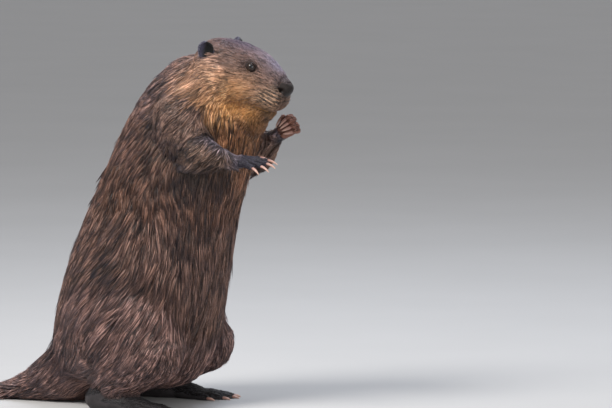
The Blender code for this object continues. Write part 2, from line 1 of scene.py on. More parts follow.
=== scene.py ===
"""The looks of a life-size beaver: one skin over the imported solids, a wet coat of solid tufts, and eyes,
claws, whiskers and tail scales. Metres, in the frame of the solids: +X is the way the beaver faces, +Y
its left and +Z up."""

import itertools
import math

import bmesh
import bpy
import numpy as np
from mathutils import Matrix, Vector
from mathutils.bvhtree import BVHTree
from mathutils.kdtree import KDTree

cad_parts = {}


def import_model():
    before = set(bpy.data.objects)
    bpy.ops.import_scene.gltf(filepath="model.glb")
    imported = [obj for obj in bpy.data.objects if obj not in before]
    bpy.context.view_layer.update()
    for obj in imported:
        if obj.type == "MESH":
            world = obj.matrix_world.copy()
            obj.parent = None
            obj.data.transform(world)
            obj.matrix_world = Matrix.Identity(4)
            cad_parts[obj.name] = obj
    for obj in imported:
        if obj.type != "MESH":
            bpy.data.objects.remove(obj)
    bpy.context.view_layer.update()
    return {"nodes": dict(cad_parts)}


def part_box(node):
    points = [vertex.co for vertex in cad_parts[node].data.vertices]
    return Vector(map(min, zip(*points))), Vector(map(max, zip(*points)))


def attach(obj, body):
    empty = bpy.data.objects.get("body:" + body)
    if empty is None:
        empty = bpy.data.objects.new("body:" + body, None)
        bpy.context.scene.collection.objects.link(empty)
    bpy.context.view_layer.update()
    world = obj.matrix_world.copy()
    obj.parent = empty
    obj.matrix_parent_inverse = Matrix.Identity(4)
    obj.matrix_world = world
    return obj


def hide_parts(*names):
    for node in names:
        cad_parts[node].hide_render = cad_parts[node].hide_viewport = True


CM, MM = 0.01, 0.001
PER_SQUARE_CM = 1e4
UP = np.array((0.0, 0.0, 1.0))
RIGHT, LEFT = -1, 1
SIDE_WORDS = {RIGHT: "right", LEFT: "left"}
SEED = 7

# ---- driving sizes ----

SKIN_VOXEL = 0.0026
JOIN_SWELL = 0.0005  # closes the thin cuts between the solids
WELD = 1e-6
HEAD_PITCH = math.radians(22.0)

# For each part: smoothing passes of its coarse skin, and of its coat the depth (mm), the length (mm),
# the width of a tuft (mm), and the number of tufts on a square centimetre.
PART_COLUMNS = ("passes", "depth", "length", "width", "number")
PARTS = {
    "head": (8, 1.9, 9.5, 0.68, 110.0),
    "lower_jaw": (7, 2.4, 10.0, 0.75, 90.0),
    "nose": (7, 0.5, 4.0, 0.6, 90.0),
    "ear": (2, 0.3, 2.4, 0.5, 70.0),
    "neck": (12, 5.0, 24.0, 0.90, 48.0),
    "chest": (14, 6.0, 36.0, 0.90, 37.0),
    "belly": (15, 6.5, 48.0, 1.10, 23.0),
    "rump": (15, 6.5, 50.0, 1.15, 22.0),
    "tail_root": (10, 4.5, 19.0, 1.30, 24.0),
    "tail_blade": (5, 0.0, 2.0, 0.8, 0.0),
    "upper_arm": (10, 5.5, 31.0, 0.95, 40.0),
    "forearm": (6, 4.5, 30.0, 0.90, 44.0),
    "forepaw": (1, 0.15, 2.4, 0.45, 70.0),
    "thigh": (15, 6.5, 48.0, 1.10, 23.0),
    "shank": (8, 3.5, 13.0, 1.20, 28.0),
    "hind_foot": (2, 0.2, 3.2, 0.6, 26.0),
    "eye": (3, 0.0, 1.5, 0.6, 0.0),
}
PART_NAMES = tuple(PARTS)
HEAD_PARTS = ("head", "lower_jaw", "nose", "ear", "eye")
FINE_PARTS = HEAD_PARTS + ("forepaw", "hind_foot")  # whose skin is built of smaller triangles
BARE_PARTS = ("nose", "ear", "forepaw", "hind_foot")  # whose coat keeps its own size to its edge
TRAIT_PASSES = 14  # how softly one part's depth and colour pass into the next
SIZE_PASSES = 30  # the same for the size and number of its tufts
LIE_PASSES = 10
EDGE_PASSES = 3  # the same for the colours of small parts, and for where marks end
PAW_PASSES, PAW_SMOOTHING = 6, 5

# The lie of the coat on the head, as places and directions (forward, outward, up), in centimetres from
# the point between the eyes, in the head's own frame.
HEAD_LIE = (
    ((4.6, 0.0, 0.2), (-0.70, 0.10, 0.70)),
    ((2.5, 1.0, 1.6), (-0.95, 0.15, 0.25)),
    ((-0.5, 1.5, 2.4), (-1.0, 0.20, 0.0)),
    ((-4.5, 1.5, 1.9), (-1.0, 0.10, -0.25)),
    ((-8.0, 1.5, 0.8), (-0.9, 0.10, -0.5)),
    ((3.9, 2.2, -2.2), (-0.92, 0.42, 0.20)),
    ((3.7, 2.7, -3.6), (-0.92, 0.42, 0.18)),
    ((1.8, 3.4, -1.2), (-0.95, 0.35, 0.05)),
    ((-1.6, 4.6, 1.2), (-1.0, 0.20, -0.15)),
    ((-1.8, 5.0, -0.6), (-0.95, 0.20, -0.28)),
    ((0.3, 4.4, -2.4), (-0.92, 0.25, -0.32)),
    ((-3.2, 5.8, -2.2), (-0.88, 0.08, -0.45)),
    ((-6.0, 6.2, -1.6), (-0.80, 0.05, -0.60)),
    ((-3.0, 6.4, -4.6), (-0.72, 0.02, -0.70)),
    ((-6.5, 6.2, -3.8), (-0.60, 0.0, -0.80)),
    ((0.4, 4.0, -5.0), (-0.70, 0.20, -0.68)),
    ((3.0, 1.2, -6.4), (-0.35, 0.10, -0.95)),
    ((1.5, 3.0, -7.2), (-0.20, 0.05, -1.0)),
    ((-1.0, 4.5, -7.8), (-0.25, 0.0, -1.0)),
    ((3.0, 1.0, -9.0), (0.12, 0.05, -1.0)),
)
# The same on the trunk, legs and tail (x, outward, z), in centimetres in the frame of the solids.
BODY_LIE = (
    ((13.0, 1.0, 52.0), (-0.85, 0.05, -0.50)),
    ((15.0, 7.2, 46.0), (-0.80, 0.05, -0.55)),
    ((20.0, 6.5, 43.5), (-0.72, 0.05, -0.70)),
    ((25.0, 3.0, 40.0), (-0.25, 0.0, -1.0)),
    ((27.0, 0.0, 37.0), (-0.10, 0.0, -1.0)),
    ((25.0, 2.0, 31.0), (-0.15, 0.05, -1.0)),
    ((4.0, 3.0, 44.0), (-0.68, 0.0, -0.70)),
    ((1.0, 4.0, 34.0), (-0.35, 0.05, -0.95)),
    ((9.0, 8.0, 40.0), (-0.68, 0.05, -0.75)),
    ((11.0, 9.5, 30.0), (-0.10, 0.0, -1.0)),
    ((18.0, 7.0, 28.0), (0.0, -0.05, -1.0)),
    ((9.0, 10.0, 24.0), (-0.68, 0.0, -0.75)),
    ((-1.0, 5.0, 20.0), (-0.45, 0.0, -0.90)),
    ((-2.0, 7.0, 10.0), (-0.50, 0.0, -0.85)),
    ((-2.0, 4.0, 4.0), (-0.80, 0.0, -0.40)),
    ((11.0, 12.0, 13.0), (-0.62, 0.0, -0.80)),
    ((17.0, 8.0, 10.0), (-0.35, 0.10, -0.90)),
    ((22.0, 0.0, 20.0), (-0.05, 0.0, -1.0)),
    ((20.0, 0.0, 10.0), (-0.30, 0.0, -0.90)),
    ((12.0, 9.0, 4.0), (-0.85, 0.0, -0.45)),
    ((-8.0, 4.0, 4.0), (-0.97, 0.0, -0.15)),
    ((-11.0, 0.0, 3.0), (-1.0, 0.0, -0.10)),
)
HEAD_LIE_REACH, BODY_LIE_REACH = 1.4, 3.0  # cm
ELBOW_LIE = (-0.70, -0.05, -0.72)
FALLING = (-0.25, 0.0, -0.75)  # how locks hang that leave the skin
FOOT_LIE = (1.0, 0.0, -0.1)
WRIST_DROOP, WRIST_SPAN = (0.0, 0.0, -0.2), (0.1, 0.7)

# Soft swellings (+) and hollows (-) of the face: place, radii and height, in centimetres as HEAD_LIE.
FACE_FORMS = (
    ((-0.2, 3.5, 1.15), (1.2, 0.7, 0.40), 0.16),  # brow
    ((1.45, 3.1, -0.1), (0.7, 0.7, 0.55), -0.13),  # hollow before the eye
    ((-1.45, 4.1, 0.1), (0.7, 0.7, 0.6), -0.08),  # hollow behind the eye
    ((-0.3, 4.4, -1.35), (1.5, 1.1, 0.50), 0.12),  # cheek bone
    ((-3.4, 6.2, -3.8), (2.4, 1.6, 1.8), 0.22),  # cheek
    ((3.8, 2.5, -3.4), (1.2, 1.0, 1.0), 0.18),  # whisker pad
    ((3.0, 0.0, -0.2), (0.9, 1.5, 0.7), 0.22),  # bridge of the nose
    ((3.5, 2.0, -1.9), (0.30, 0.8, 0.7), -0.12),  # crease behind the nostril
    ((5.4, 0.0, -0.2), (0.6, 1.4, 0.5), -0.17),  # flat top of the nose
    ((4.9, 0.0, -2.75), (0.7, 0.9, 0.25), -0.12),  # under the nose
    ((1.5, 3.3, -4.7), (0.45, 0.8, 0.6), -0.14),  # corner of the mouth
    ((-6.05, 6.3, 0.45), (0.70, 0.8, 1.25), -0.70),  # hollow of the ear
    ((-6.3, 6.3, 2.25), (1.1, 0.9, 0.25), 0.05),  # rim of the ear
)
EAR_HOLLOW, EAR_HOLLOW_RADII = (-5.98, 6.3, 0.20), (1.10, 1.8, 2.0)
MOUTH_FROM, MOUTH_TO, MOUTH_LEVEL, MOUTH_WIDE, MOUTH_DEEP = 1.5, 8, -5.10, 0.17, 0.30
MOUTH_BARE, MOUTH_BARE_RADII = (3.2, 1.5, MOUTH_LEVEL), (1.6, 2.4, 0.30)
LIP_AWAY, LIP_WIDE, LIP_RISE = 0.42, 0.20, 0.05
CLEFT_TOP, CLEFT_WIDE, CLEFT_DEEP = -2.7, 0.13, 0.16
NOSTRIL = (4.75, 1.62, -1.72)
NOSTRIL_RADII, NOSTRIL_DEEP = (0.33, 0.60, 0.30), 0.50
NOSTRIL_RIM, NOSTRIL_RIM_RISE = 2.1, 0.10  # of the nostril's radii, and its height
NOSTRIL_SLIT, NOSTRIL_SLIT_RADII, NOSTRIL_SLIT_DEEP = (-0.34, 0.0, 0.16), (0.24, 0.6, 0.14), 0.20
NOSE_BARE_BELOW = -0.50  # above this level the nose is furred
FINE_AHEAD, FINE_BELOW = -7.5, -12  # where the fine parts have small triangles: the face, and the feet
EYE_PLACE, EAR_PLACE, EAR_REACH = (0.1, 3.6, 0.1), (-6.2, 6.2, 1.2), 2.0
FACE_REACHES, NOSTRIL_REACH = (1.6, 1.1), 0.7  # of the finer triangles at the eye and the nostril

EYE_RADIUS = 0.0070
EYE_SINK = 0.0009  # how much deeper the round eyeball sits than the solid's
EYE_FACES = (0.34, 0.86, 0.38)  # forward, outward, up
EYE_HALF_LENGTH, EYE_HALF_HEIGHT = 0.0060, 0.0050
EYE_TILT = math.radians(-14.0)
EYE_NEAR = 0.012  # how far in and out the marks around an eye reach
LID, UPPER_LID, EYE_PIT = 0.0009, 0.0006, 0.0016  # above the eyeball, and the skin below it
# The next are in eye openings: where the lids end, meet the face, part, are dark, bear fur, bear short fur.
LID_REACH, LID_SETTLE, LID_EDGE = 3.2, (1.25, 3.0), (0.94, 1.06)
LID_DARK, LID_FURRED, LID_SHORT = (1.12, 1.45), (1.12, 1.5), (1.0, 3.6)
LID_LOW = -0.002  # skin deeper than this is not a lid
LOWER_LID, LOWER_LID_RADII, LOWER_LID_PALE = (0.0010, -0.0072, 0.0045), (0.0022, 0.0011, 0.004), 0.6

FINGER_CREASE, FINGER_REACH, FINGER_DEEP = 0.0015, 0.026, 0.0032
# For each kind of paw: its claws' name, its part, and how its grooves' reach and depth compare.
PAWS = (("fore", "forepaw", 1.0, 1.0), ("hind", "hind_foot", 1.6, 0.6))
KNUCKLES = (0.0045, 0.0105)  # back from the claw
KNUCKLE_WIDE, KNUCKLE_DEEP, FINGER_HALF = 0.0007, 0.0005, 0.006
CLAW_FOOT = 0.72  # how far back along a claw's solid its foot begins

# Colours, linear.
GREY_CROWN = (0.052, 0.036, 0.070)
# The bridge's grey is partly its own colour and partly painted sky sheen.
GREY_BRIDGE_AND_SHEEN = (0.152, 0.136, 0.192)
BROWN_FACE = (0.158, 0.092, 0.070)
TAN_CHEEK = (0.235, 0.134, 0.084)
GOLD = (0.375, 0.202, 0.115)
TAN = (0.54, 0.345, 0.215)
MOUTH_BROWN = (0.050, 0.032, 0.022)
ORANGE_THROAT = (0.66, 0.310, 0.090)
ORANGE_BROWN = (0.135, 0.055, 0.016)
RUST = (0.100, 0.040, 0.012)
NAPE_BROWN = (0.130, 0.074, 0.062)
BACK_BROWN = (0.100, 0.044, 0.032)
LOW_BROWN = (0.134, 0.073, 0.060)
# Painted shade, for the dark gaps beside the arms and at the front of the chest.
PAINTED_SHADE_BROWN = (0.022, 0.013, 0.009)
FOREARM_SLATE = (0.155, 0.130, 0.168)
SLATE = (0.038, 0.034, 0.050)
FIST_BROWN = (0.320, 0.145, 0.105)
NOSE_BLACK = (0.013, 0.009, 0.008)
NOSE_TOP = (0.060, 0.044, 0.046)
EAR_RIM = (0.110, 0.105, 0.165)
# Painted shade for the hollow of the ear.
EAR_HOLLOW_SHADE = (0.003, 0.002, 0.002)
TAIL_BLACK = (0.040, 0.036, 0.038)
FOOT_BLACK = (0.036, 0.032, 0.034)
LID_BLACK = (0.020, 0.014, 0.013)

PART_COLOURS = {
    "head": BROWN_FACE,
    # The lower jaw's gold is partly its own colour and partly painted light under the jaw.
    "lower_jaw": (0.62, 0.315, 0.115),
    "nose": NOSE_BLACK,
    "ear": EAR_RIM,
    "neck": NAPE_BROWN,
    "chest": (0.114, 0.054, 0.033),
    "belly": (0.110, 0.058, 0.041),
    "rump": LOW_BROWN,
    "tail_root": LOW_BROWN,
    "tail_blade": TAIL_BLACK,
    "upper_arm": (0.112, 0.063, 0.045),
    "forearm": (0.185, 0.108, 0.074),
    "forepaw": SLATE,
    "thigh": LOW_BROWN,
    "shank": LOW_BROWN,
    "hind_foot": FOOT_BLACK,
    "eye": LID_BLACK,
}
# Markings of the face as HEAD_LIE, and markings and painted shade of the body as BODY_LIE: place, radii,
# colour, strength.
HEAD_MARKS = (
    ((-3.5, 0.0, 2.4), (5.0, 4.2, 1.6), GREY_CROWN, 0.95),
    ((-2.5, 5.0, 0.5), (2.6, 1.5, 1.2), BROWN_FACE, 0.6),
    ((2.6, 0.0, 0.8), (3.2, 1.9, 1.5), GREY_BRIDGE_AND_SHEEN, 0.9),
    ((4.9, 0.0, -0.4), (1.1, 2.0, 0.8), NOSE_TOP, 0.95),
    ((4.25, 1.8, -1.75), (0.75, 0.8, 0.80), NOSE_BLACK, 0.95),
    ((0.8, 4.4, -1.7), (2.2, 1.6, 0.9), TAN_CHEEK, 0.7),
    ((-3.0, 6.0, -3.6), (4.6, 3.0, 2.5), GOLD, 1.0),
    ((-5.6, 6.4, -2.2), (2.0, 2.0, 1.5), GOLD, 0.7),
    ((-0.2, 4.6, -3.6), (2.6, 2.2, 1.7), (0.48, 0.250, 0.105), 0.9),
    ((4.0, 2.5, -3.4), (1.7, 1.5, 1.2), TAN, 0.95),
    ((4.6, 2.0, -5.20), (1.6, 1.7, 0.62), MOUTH_BROWN, 1.0),
    ((-0.3, 3.7, 0.5), (1.2, 1.0, 0.8), (0.135, 0.080, 0.068), 0.8),
    ((-2.2, 5.0, -0.4), (2.2, 1.8, 1.0), (0.115, 0.066, 0.052), 0.6),
    ((-0.6, 3.0, -6.1), (4.2, 3.6, 1.9), ORANGE_THROAT, 0.95),
    ((4.4, 1.0, -6.2), (1.1, 2.2, 0.9), (0.085, 0.050, 0.030), 0.85),
    ((2.0, 4.0, -8.2), (3.8, 5.0, 1.5), RUST, 0.55),
    ((0.5, 3.5, -9.6), (4.5, 5.0, 1.9), (0.215, 0.088, 0.028), 0.85),
)
BODY_MARKS_AND_SHADE = (
    ((6.0, 0.0, 46.0), (9.0, 5.0, 7.0), BACK_BROWN, 0.6),
    ((11.0, 8.0, 41.0), (4.0, 4.0, 4.5), (0.170, 0.095, 0.076), 0.8),
    ((2.0, 6.0, 30.0), (6.0, 8.0, 9.0), (0.106, 0.052, 0.038), 0.6),
    ((22.0, 8.0, 46.8), (2.8, 3.0, 2.0), GOLD, 0.45),
    ((19.0, 9.5, 46.0), (3.6, 4.5, 3.0), (0.076, 0.042, 0.034), 0.9),
    ((28.0, 0.0, 38.0), (4.5, 7.5, 5.5), (0.175, 0.075, 0.030), 0.9),
    ((27.0, 0.0, 41.8), (5.0, 6.0, 3.2), ORANGE_BROWN, 0.85),
    # Painted shade: under the arm, between the throat's fur and the arm, and at the front of the chest.
    ((23.8, 8.0, 35.0), (5.5, 5.0, 3.2), PAINTED_SHADE_BROWN, 1.0),
    ((25.0, 7.2, 41.3), (1.5, 3.2, 2.7), PAINTED_SHADE_BROWN, 1.0),
    ((29.0, 0.5, 38.6), (1.0, 2.5, 1.0), PAINTED_SHADE_BROWN, 0.6),
)
MARK_ON_ARM, PAINTED_SHADE_ON_ARM = 0.15, 0.9  # how much of a mark beside the arm falls on it, and how much of the painted shade
DARKEST = 0.004
EAR_SHADE_SPAN = (0.25, 0.6)  # where painted shade darkens the ear's hollow
PAD_ROWS = (0.225, 0.974)  # across the dark rows of the whisker pad (forward, up)
PAD_ROW_STEP, PAD_PLACE, PAD_REACH = 0.44, (4.1, 2.4, -3.15), (1.7, 2.5, 1.25)
PAD_FRONT, PAD_TOP, PAD_OUTSIDE = 5.1, -2.20, 8.0  # where the rows begin, and a place outside the skin
PAD_DARK, PAD_STRIPE, PAD_EDGE = 0.93, (0.1, 0.8), (0.25, 0.6)
PAW_SHADE, PAW_TOP_LIGHT = 0.55, 0.95  # painted shade and light of the paws: their share where they face down, and what facing up adds

# How the coat differs within a part. Places and radii as HEAD_LIE.
CHEEK_RUFF, CHEEK_RUFF_RADII, CHEEK_RUFF_LONGER = (-4.5, 6.0, -4.5), (3.8, 3.0, 3.4), 1.0
EAR_TUFT, EAR_TUFT_RADII, EAR_TUFT_LONGER, EAR_TUFT_DEEPER = (-4.7, 5.4, 0.4), (0.8, 1.5, 1.3), 0.8, 0.0022
MUZZLE_SPAN, MUZZLE_SHORTER = (-1.0, 3.0), 0.35
FOREARM_SHORTER, FOREARM_FLATTER, FOREARM_FINER = 0.75, 0.85, 0.45
# Where the forearm is bare: how level its skin, and how far along from its middle to the paw's.
ARM_TOP, ARM_TOP_FROM, WRIST_BARE = (0.50, 0.85), (-0.55, -0.2), (0.36, 0.60)
ARM_PASSES, HANG_PASSES = 5, 6
PALM_LEVEL, EAR_BARE, MOUTH_BARE_SHARE = 0.1, 0.40, 0.5
HANG, HANG_BELOW = 0.75, (-0.15, 0.55)  # how much the locks under the arms leave the skin
SOLE_LEVEL = 0.004  # no coat below it


# ---- arrays on a mesh ----


class Surface:
    """A triangle mesh as arrays: its points, their normals, its edges and triangles, and a search tree."""

    def __init__(self, mesh):
        self.points, self.normals, self.edges = points_of(mesh), normals_of(mesh), edges_of(mesh)
        self.triangles = read(mesh.polygons, "vertices", 3, np.int32)
        triangles = self.triangles.tolist()
        self.tree = BVHTree.FromPolygons(self.points.tolist(), triangles, all_triangles=True)

    def nearest(self, points):
        """For each point: the place on the surface, its triangle, and the weights of its corners."""
        hits = [self.tree.find_nearest(point) for point in points.tolist()]
        places = np.array([tuple(hit[0]) for hit in hits])
        faces = np.array([hit[2] for hit in hits])
        return places, faces, self.weights(places, faces)

    def weights(self, places, faces):
        """Barycentric weights of places inside triangles."""
        a, b, c = (self.points[self.triangles[faces, corner]] for corner in range(3))
        ab, ac, ap = b - a, c - a, places - a
        d00, d01, d11 = dot(ab, ab), dot(ab, ac), dot(ac, ac)
        d20, d21 = dot(ap, ab), dot(ap, ac)
        below = np.maximum(d00 * d11 - d01 * d01, 1e-20)
        second = np.clip((d11 * d20 - d01 * d21) / below, 0, 1)
        third = np.clip((d00 * d21 - d01 * d20) / below, 0, 1)
        return np.stack([np.clip(1 - second - third, 0, 1), second, third], axis=1)

    def at(self, field, faces, weights):
        """A field of the points, read inside triangles."""
        corners = field[self.triangles[faces]]
        if field.ndim == 1:
            return (corners * weights).sum(1)
        return (corners * weights[:, :, None]).sum(1)


def read(collection, name, width, kind=np.float64):
    """One property of a collection, as an array of rows."""
    held = np.empty(len(collection) * width, np.int32 if kind == np.int32 else np.float32)
    collection.foreach_get(name, held)
    return held.astype(kind).reshape(-1, width)


def points_of(mesh):
    return read(mesh.vertices, "co", 3)


def normals_of(mesh):
    return read(mesh.vertices, "normal", 3)


def edges_of(mesh):
    return read(mesh.edges, "vertices", 2, np.int32)


def set_points(mesh, points):
    mesh.vertices.foreach_set("co", points.astype(np.float32).ravel())
    mesh.update()


def working(mesh):
    """A copy of a mesh to work on."""
    work = bmesh.new()
    work.from_mesh(mesh)
    return work


def written(work, mesh):
    """The mesh, with the worked copy put into it."""
    work.to_mesh(mesh)
    work.free()
    return mesh


def triangulated(mesh):
    work = working(mesh)
    bmesh.ops.triangulate(work, faces=work.faces)
    return written(work, mesh)


def dot(a, b):
    return (a * b).sum(-1)


def unit(vectors):
    return vectors / np.maximum(np.linalg.norm(vectors, axis=-1, keepdims=True), 1e-9)


def smoothstep(value, low, high):
    share = np.clip((value - low) / (high - low), 0, 1)
    return share * share * (3 - 2 * share)


def bell(value, width):
    """1 at zero, falling softly to 0 beyond a width on both sides."""
    return np.exp(-((value / width) ** 2))


def near(points, place, radii):
    """1 at a place, falling softly to 0 beyond the radii."""
    away = (points - np.array(place)) / np.array(radii)
    return np.exp(-dot(away, away))


def folded(points):
    """The points with their second number outward on both sides."""
    held = points.copy()
    held[:, 1] = np.abs(held[:, 1])
    return held


def turned(ahead, aside, angles):
    """Directions turned by angles from one to another at right angles to it."""
    return ahead * np.cos(angles)[:, None] + aside * np.sin(angles)[:, None]


def spread(field, edges, passes):
    """A field of the points, evened out along the edges. Passes may be one number or one for each."""
    flat = field.reshape(len(field), -1).copy()
    count = len(flat)
    first, second = edges[:, 0], edges[:, 1]
    degree = np.bincount(first, minlength=count) + np.bincount(second, minlength=count)
    degree = np.maximum(degree, 1)
    for step in range(int(np.max(passes))):
        share = 0.5 * (np.asarray(passes) > step)
        for values in flat.T:
            total = np.bincount(first, weights=values[second], minlength=count)
            total += np.bincount(second, weights=values[first], minlength=count)
            values += share * (total / degree - values)
    return flat.reshape(field.shape)


def ripples(points, size, seed):
    """Smooth irregular waves between about -1 and 1, about a size apart."""
    rng, waves = np.random.default_rng(seed), 6
    turns = unit(rng.normal(size=(waves, 3))) * (2 * math.pi / size) * rng.uniform(0.6, 1.5, (waves, 1))
    phases = rng.uniform(0, 2 * math.pi, waves)
    return np.sin(points @ turns.T + phases).sum(1) / math.sqrt(waves)


# ---- frames ----


def box_middle(node):
    low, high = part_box(node)
    return (low + high) / 2


class HeadFrame:
    """Forward, left and up of the head, from the point between the eyes, in centimetres."""

    def __init__(self):
        self.origin = np.array((box_middle("eye_right") + box_middle("eye_left")) / 2)
        forward = (math.cos(HEAD_PITCH), 0.0, -math.sin(HEAD_PITCH))
        up = (math.sin(HEAD_PITCH), 0.0, math.cos(HEAD_PITCH))
        self.axes = np.array((forward, (0.0, 1.0, 0.0), up))

    def mirrored(self, points):
        """Points in the head's frame, with the second number outward on both sides."""
        return folded((points - self.origin) @ self.axes.T / CM)

    def to_world(self, directions):
        """Directions from the head's frame to the world's."""
        return directions @ self.axes

    def world(self, place):
        return self.origin + np.array(place) @ self.axes * CM


# ---- skin ----


def flesh_nodes(nodes):
    """The part that each node of flesh belongs to: its name without its side."""
    parts = {name: name.removesuffix("_right").removesuffix("_left") for name in sorted(nodes)}
    return {name: part for name, part in parts.items() if part in PARTS}


def new_object(name, data, material=None):
    if material:
        data.materials.append(material)
    item = bpy.data.objects.new(name, data)
    bpy.context.scene.collection.objects.link(item)
    return item


def joined_flesh(nodes, names):
    """Copies of the solids, each swollen a little so that they overlap, as one mesh."""
    whole = bmesh.new()
    for name in names:
        work = working(nodes[name].data)
        bmesh.ops.remove_doubles(work, verts=work.verts, dist=WELD)
        work.normal_update()
        moves = [vertex.normal * JOIN_SWELL for vertex in work.verts]
        for vertex, move in zip(work.verts, moves):
            vertex.co += move
        swollen = written(work, bpy.data.meshes.new("swollen"))
        whole.from_mesh(swollen)
        bpy.data.meshes.remove(swollen)
    return written(whole, bpy.data.meshes.new("flesh"))


def remeshed(mesh, voxel):
    """The outside of a mesh, built anew as one closed surface."""
    item = new_object("remesh", mesh)
    remesh = item.modifiers.new("One skin", "REMESH")
    remesh.mode, remesh.voxel_size = "VOXEL", voxel
    bpy.context.view_layer.update()
    mesh = bpy.data.meshes.new_from_object(item.evaluated_get(bpy.context.evaluated_depsgraph_get()))
    bpy.data.objects.remove(item)
    return mesh


class Labels:
    """Which part of the animal each point is nearest to."""

    def __init__(self, nodes, parts):
        points, faces, owner = [], [], []
        for name, part in parts.items():
            mesh = nodes[name].data
            start = len(points)
            points += [vertex.co[:] for vertex in mesh.vertices]
            faces += [[start + corner for corner in polygon.vertices] for polygon in mesh.polygons]
            owner += [PART_NAMES.index(part)] * len(mesh.polygons)
        self.tree = BVHTree.FromPolygons(points, faces)
        self.owner = np.array(owner)

    def of(self, points):
        return self.owner[[self.tree.find_nearest(point)[2] for point in points.tolist()]]

    def onto(self, points):
        """The nearest places on the solids."""
        return np.array([tuple(self.tree.find_nearest(point)[0]) for point in points.tolist()])


def is_part(label, *parts):
    """True where the label is one of the named parts."""
    return np.isin(label, [PART_NAMES.index(part) for part in parts])


def column(label, name):
    """One column of PARTS for each label."""
    return np.array([row[PART_COLUMNS.index(name)] for row in PARTS.values()])[label]


def refined(mesh, chosen):
    """The mesh with every edge whose ends are both chosen cut in two."""
    work = working(mesh)
    edges = [edge for edge in work.edges if all(chosen[end.index] for end in edge.verts)]
    bmesh.ops.subdivide_edges(work, edges=edges, cuts=1, use_grid_fill=True)
    return written(work, mesh)


def eye_axes(head, side):
    """The centre of an eyeball, and the directions along the eye's opening, across it and outwards."""
    out = unit(head.to_world(np.array((EYE_FACES[0], side * EYE_FACES[1], EYE_FACES[2]))))
    ahead = unit(head.axes[0] - out * dot(head.axes[0], out))
    up = np.cross(out, ahead) * side
    if up[2] < 0:
        up = -up
    along = ahead * math.cos(EYE_TILT) + up * math.sin(EYE_TILT)
    across = up * math.cos(EYE_TILT) - ahead * math.sin(EYE_TILT)
    centre = np.array(box_middle(f"eye_{SIDE_WORDS[side]}")) - out * EYE_SINK
    return centre, np.array((along, across, out))


def around_eye(points, head, side):
    """The points in the frame of an eye, and how far out they are, where 1 is the edge of its opening."""
    centre, axes = eye_axes(head, side)
    local = (points - centre) @ axes.T
    return local, np.hypot(local[:, 0] / EYE_HALF_LENGTH, local[:, 1] / EYE_HALF_HEIGHT)


def with_eyelids(points, head):
    """Opens the skin over each eyeball and lays the lids on it."""
    for side in SIDE_WORDS:
        centre, axes = eye_axes(head, side)
        local, away = around_eye(points, head, side)
        touched = (away < LID_REACH) & (local[:, 2] > LID_LOW)
        ball = np.sqrt(np.maximum(EYE_RADIUS ** 2 - (local[:, 0] ** 2 + local[:, 1] ** 2), 0.0))
        lid = ball + LID + UPPER_LID * smoothstep(local[:, 1], 0.0, EYE_HALF_HEIGHT)
        settle = smoothstep(away, *LID_SETTLE)
        lidded = lid * (1 - settle) + local[:, 2] * settle
        opened = smoothstep(away, *LID_EDGE)
        height = (ball - EYE_PIT) * (1 - opened) + lidded * opened
        local[:, 2] = np.where(touched, height, local[:, 2])
        points = local @ axes + centre
    return points


def with_face(points, normals, head):
    """Brows, cheeks, lips, the cleft under the nose and the nostrils."""
    held = head.mirrored(points)
    move = np.zeros(len(points))
    for place, radii, height in FACE_FORMS:
        move += height * near(held, place, radii)
    forward, side, up = held.T
    muzzle = smoothstep(forward, MOUTH_FROM - 0.5, MOUTH_FROM + 0.7)
    mouth = bell(up - MOUTH_LEVEL, MOUTH_WIDE) * muzzle * (forward < MOUTH_TO)
    lips = bell(np.abs(up - MOUTH_LEVEL) - LIP_AWAY, LIP_WIDE) * muzzle
    cleft_span = smoothstep(up, MOUTH_LEVEL - 0.2, MOUTH_LEVEL + 0.3)
    cleft_span *= 1 - smoothstep(up, CLEFT_TOP, CLEFT_TOP + 0.6)
    cleft = bell(side, CLEFT_WIDE) * cleft_span * smoothstep(forward, 3.0, 4.0)
    hole = near(held, NOSTRIL, NOSTRIL_RADII)
    slit = near(held, np.array(NOSTRIL) + NOSTRIL_SLIT, NOSTRIL_SLIT_RADII)
    rim = near(held, NOSTRIL, np.array(NOSTRIL_RADII) * NOSTRIL_RIM) - hole
    move += NOSTRIL_RIM_RISE * rim - NOSTRIL_DEEP * hole - NOSTRIL_SLIT_DEEP * slit
    move += LIP_RISE * lips - MOUTH_DEEP * mouth - CLEFT_DEEP * cleft
    return points + normals * (move * CM)[:, None]


def thin_end(points):
    """The tip of a claw: of its two ends, the one with less around it."""
    middle = points.mean(0)
    axis = np.linalg.svd(points - middle)[2][0]
    along = (points - middle) @ axis
    ends = {}
    for sign in (1, -1):
        reach = (along * sign).max()
        close = points[along * sign > 0.8 * reach]
        girth = np.linalg.norm(close - close.mean(0), axis=1).mean()
        ends[girth] = points[np.argmax(along * sign)]
    return ends[min(ends)]


def claws_of(nodes, limb, word):
    """For each claw of a paw: the middle of its foot, its tip, and its radius at the foot."""
    lines = []
    for number in range(1, 6):
        points = points_of(nodes[f"claw_{limb}_{word}_{number}"].data)
        tip = thin_end(points)
        axis = unit(tip - points.mean(0))
        along = (points - tip) @ axis
        foot = along < along.min() * CLAW_FOOT
        radius = np.linalg.norm(points - tip - along[:, None] * axis, axis=1)[foot].mean()
        lines.append((points[foot].mean(0), tip, radius))
    return lines


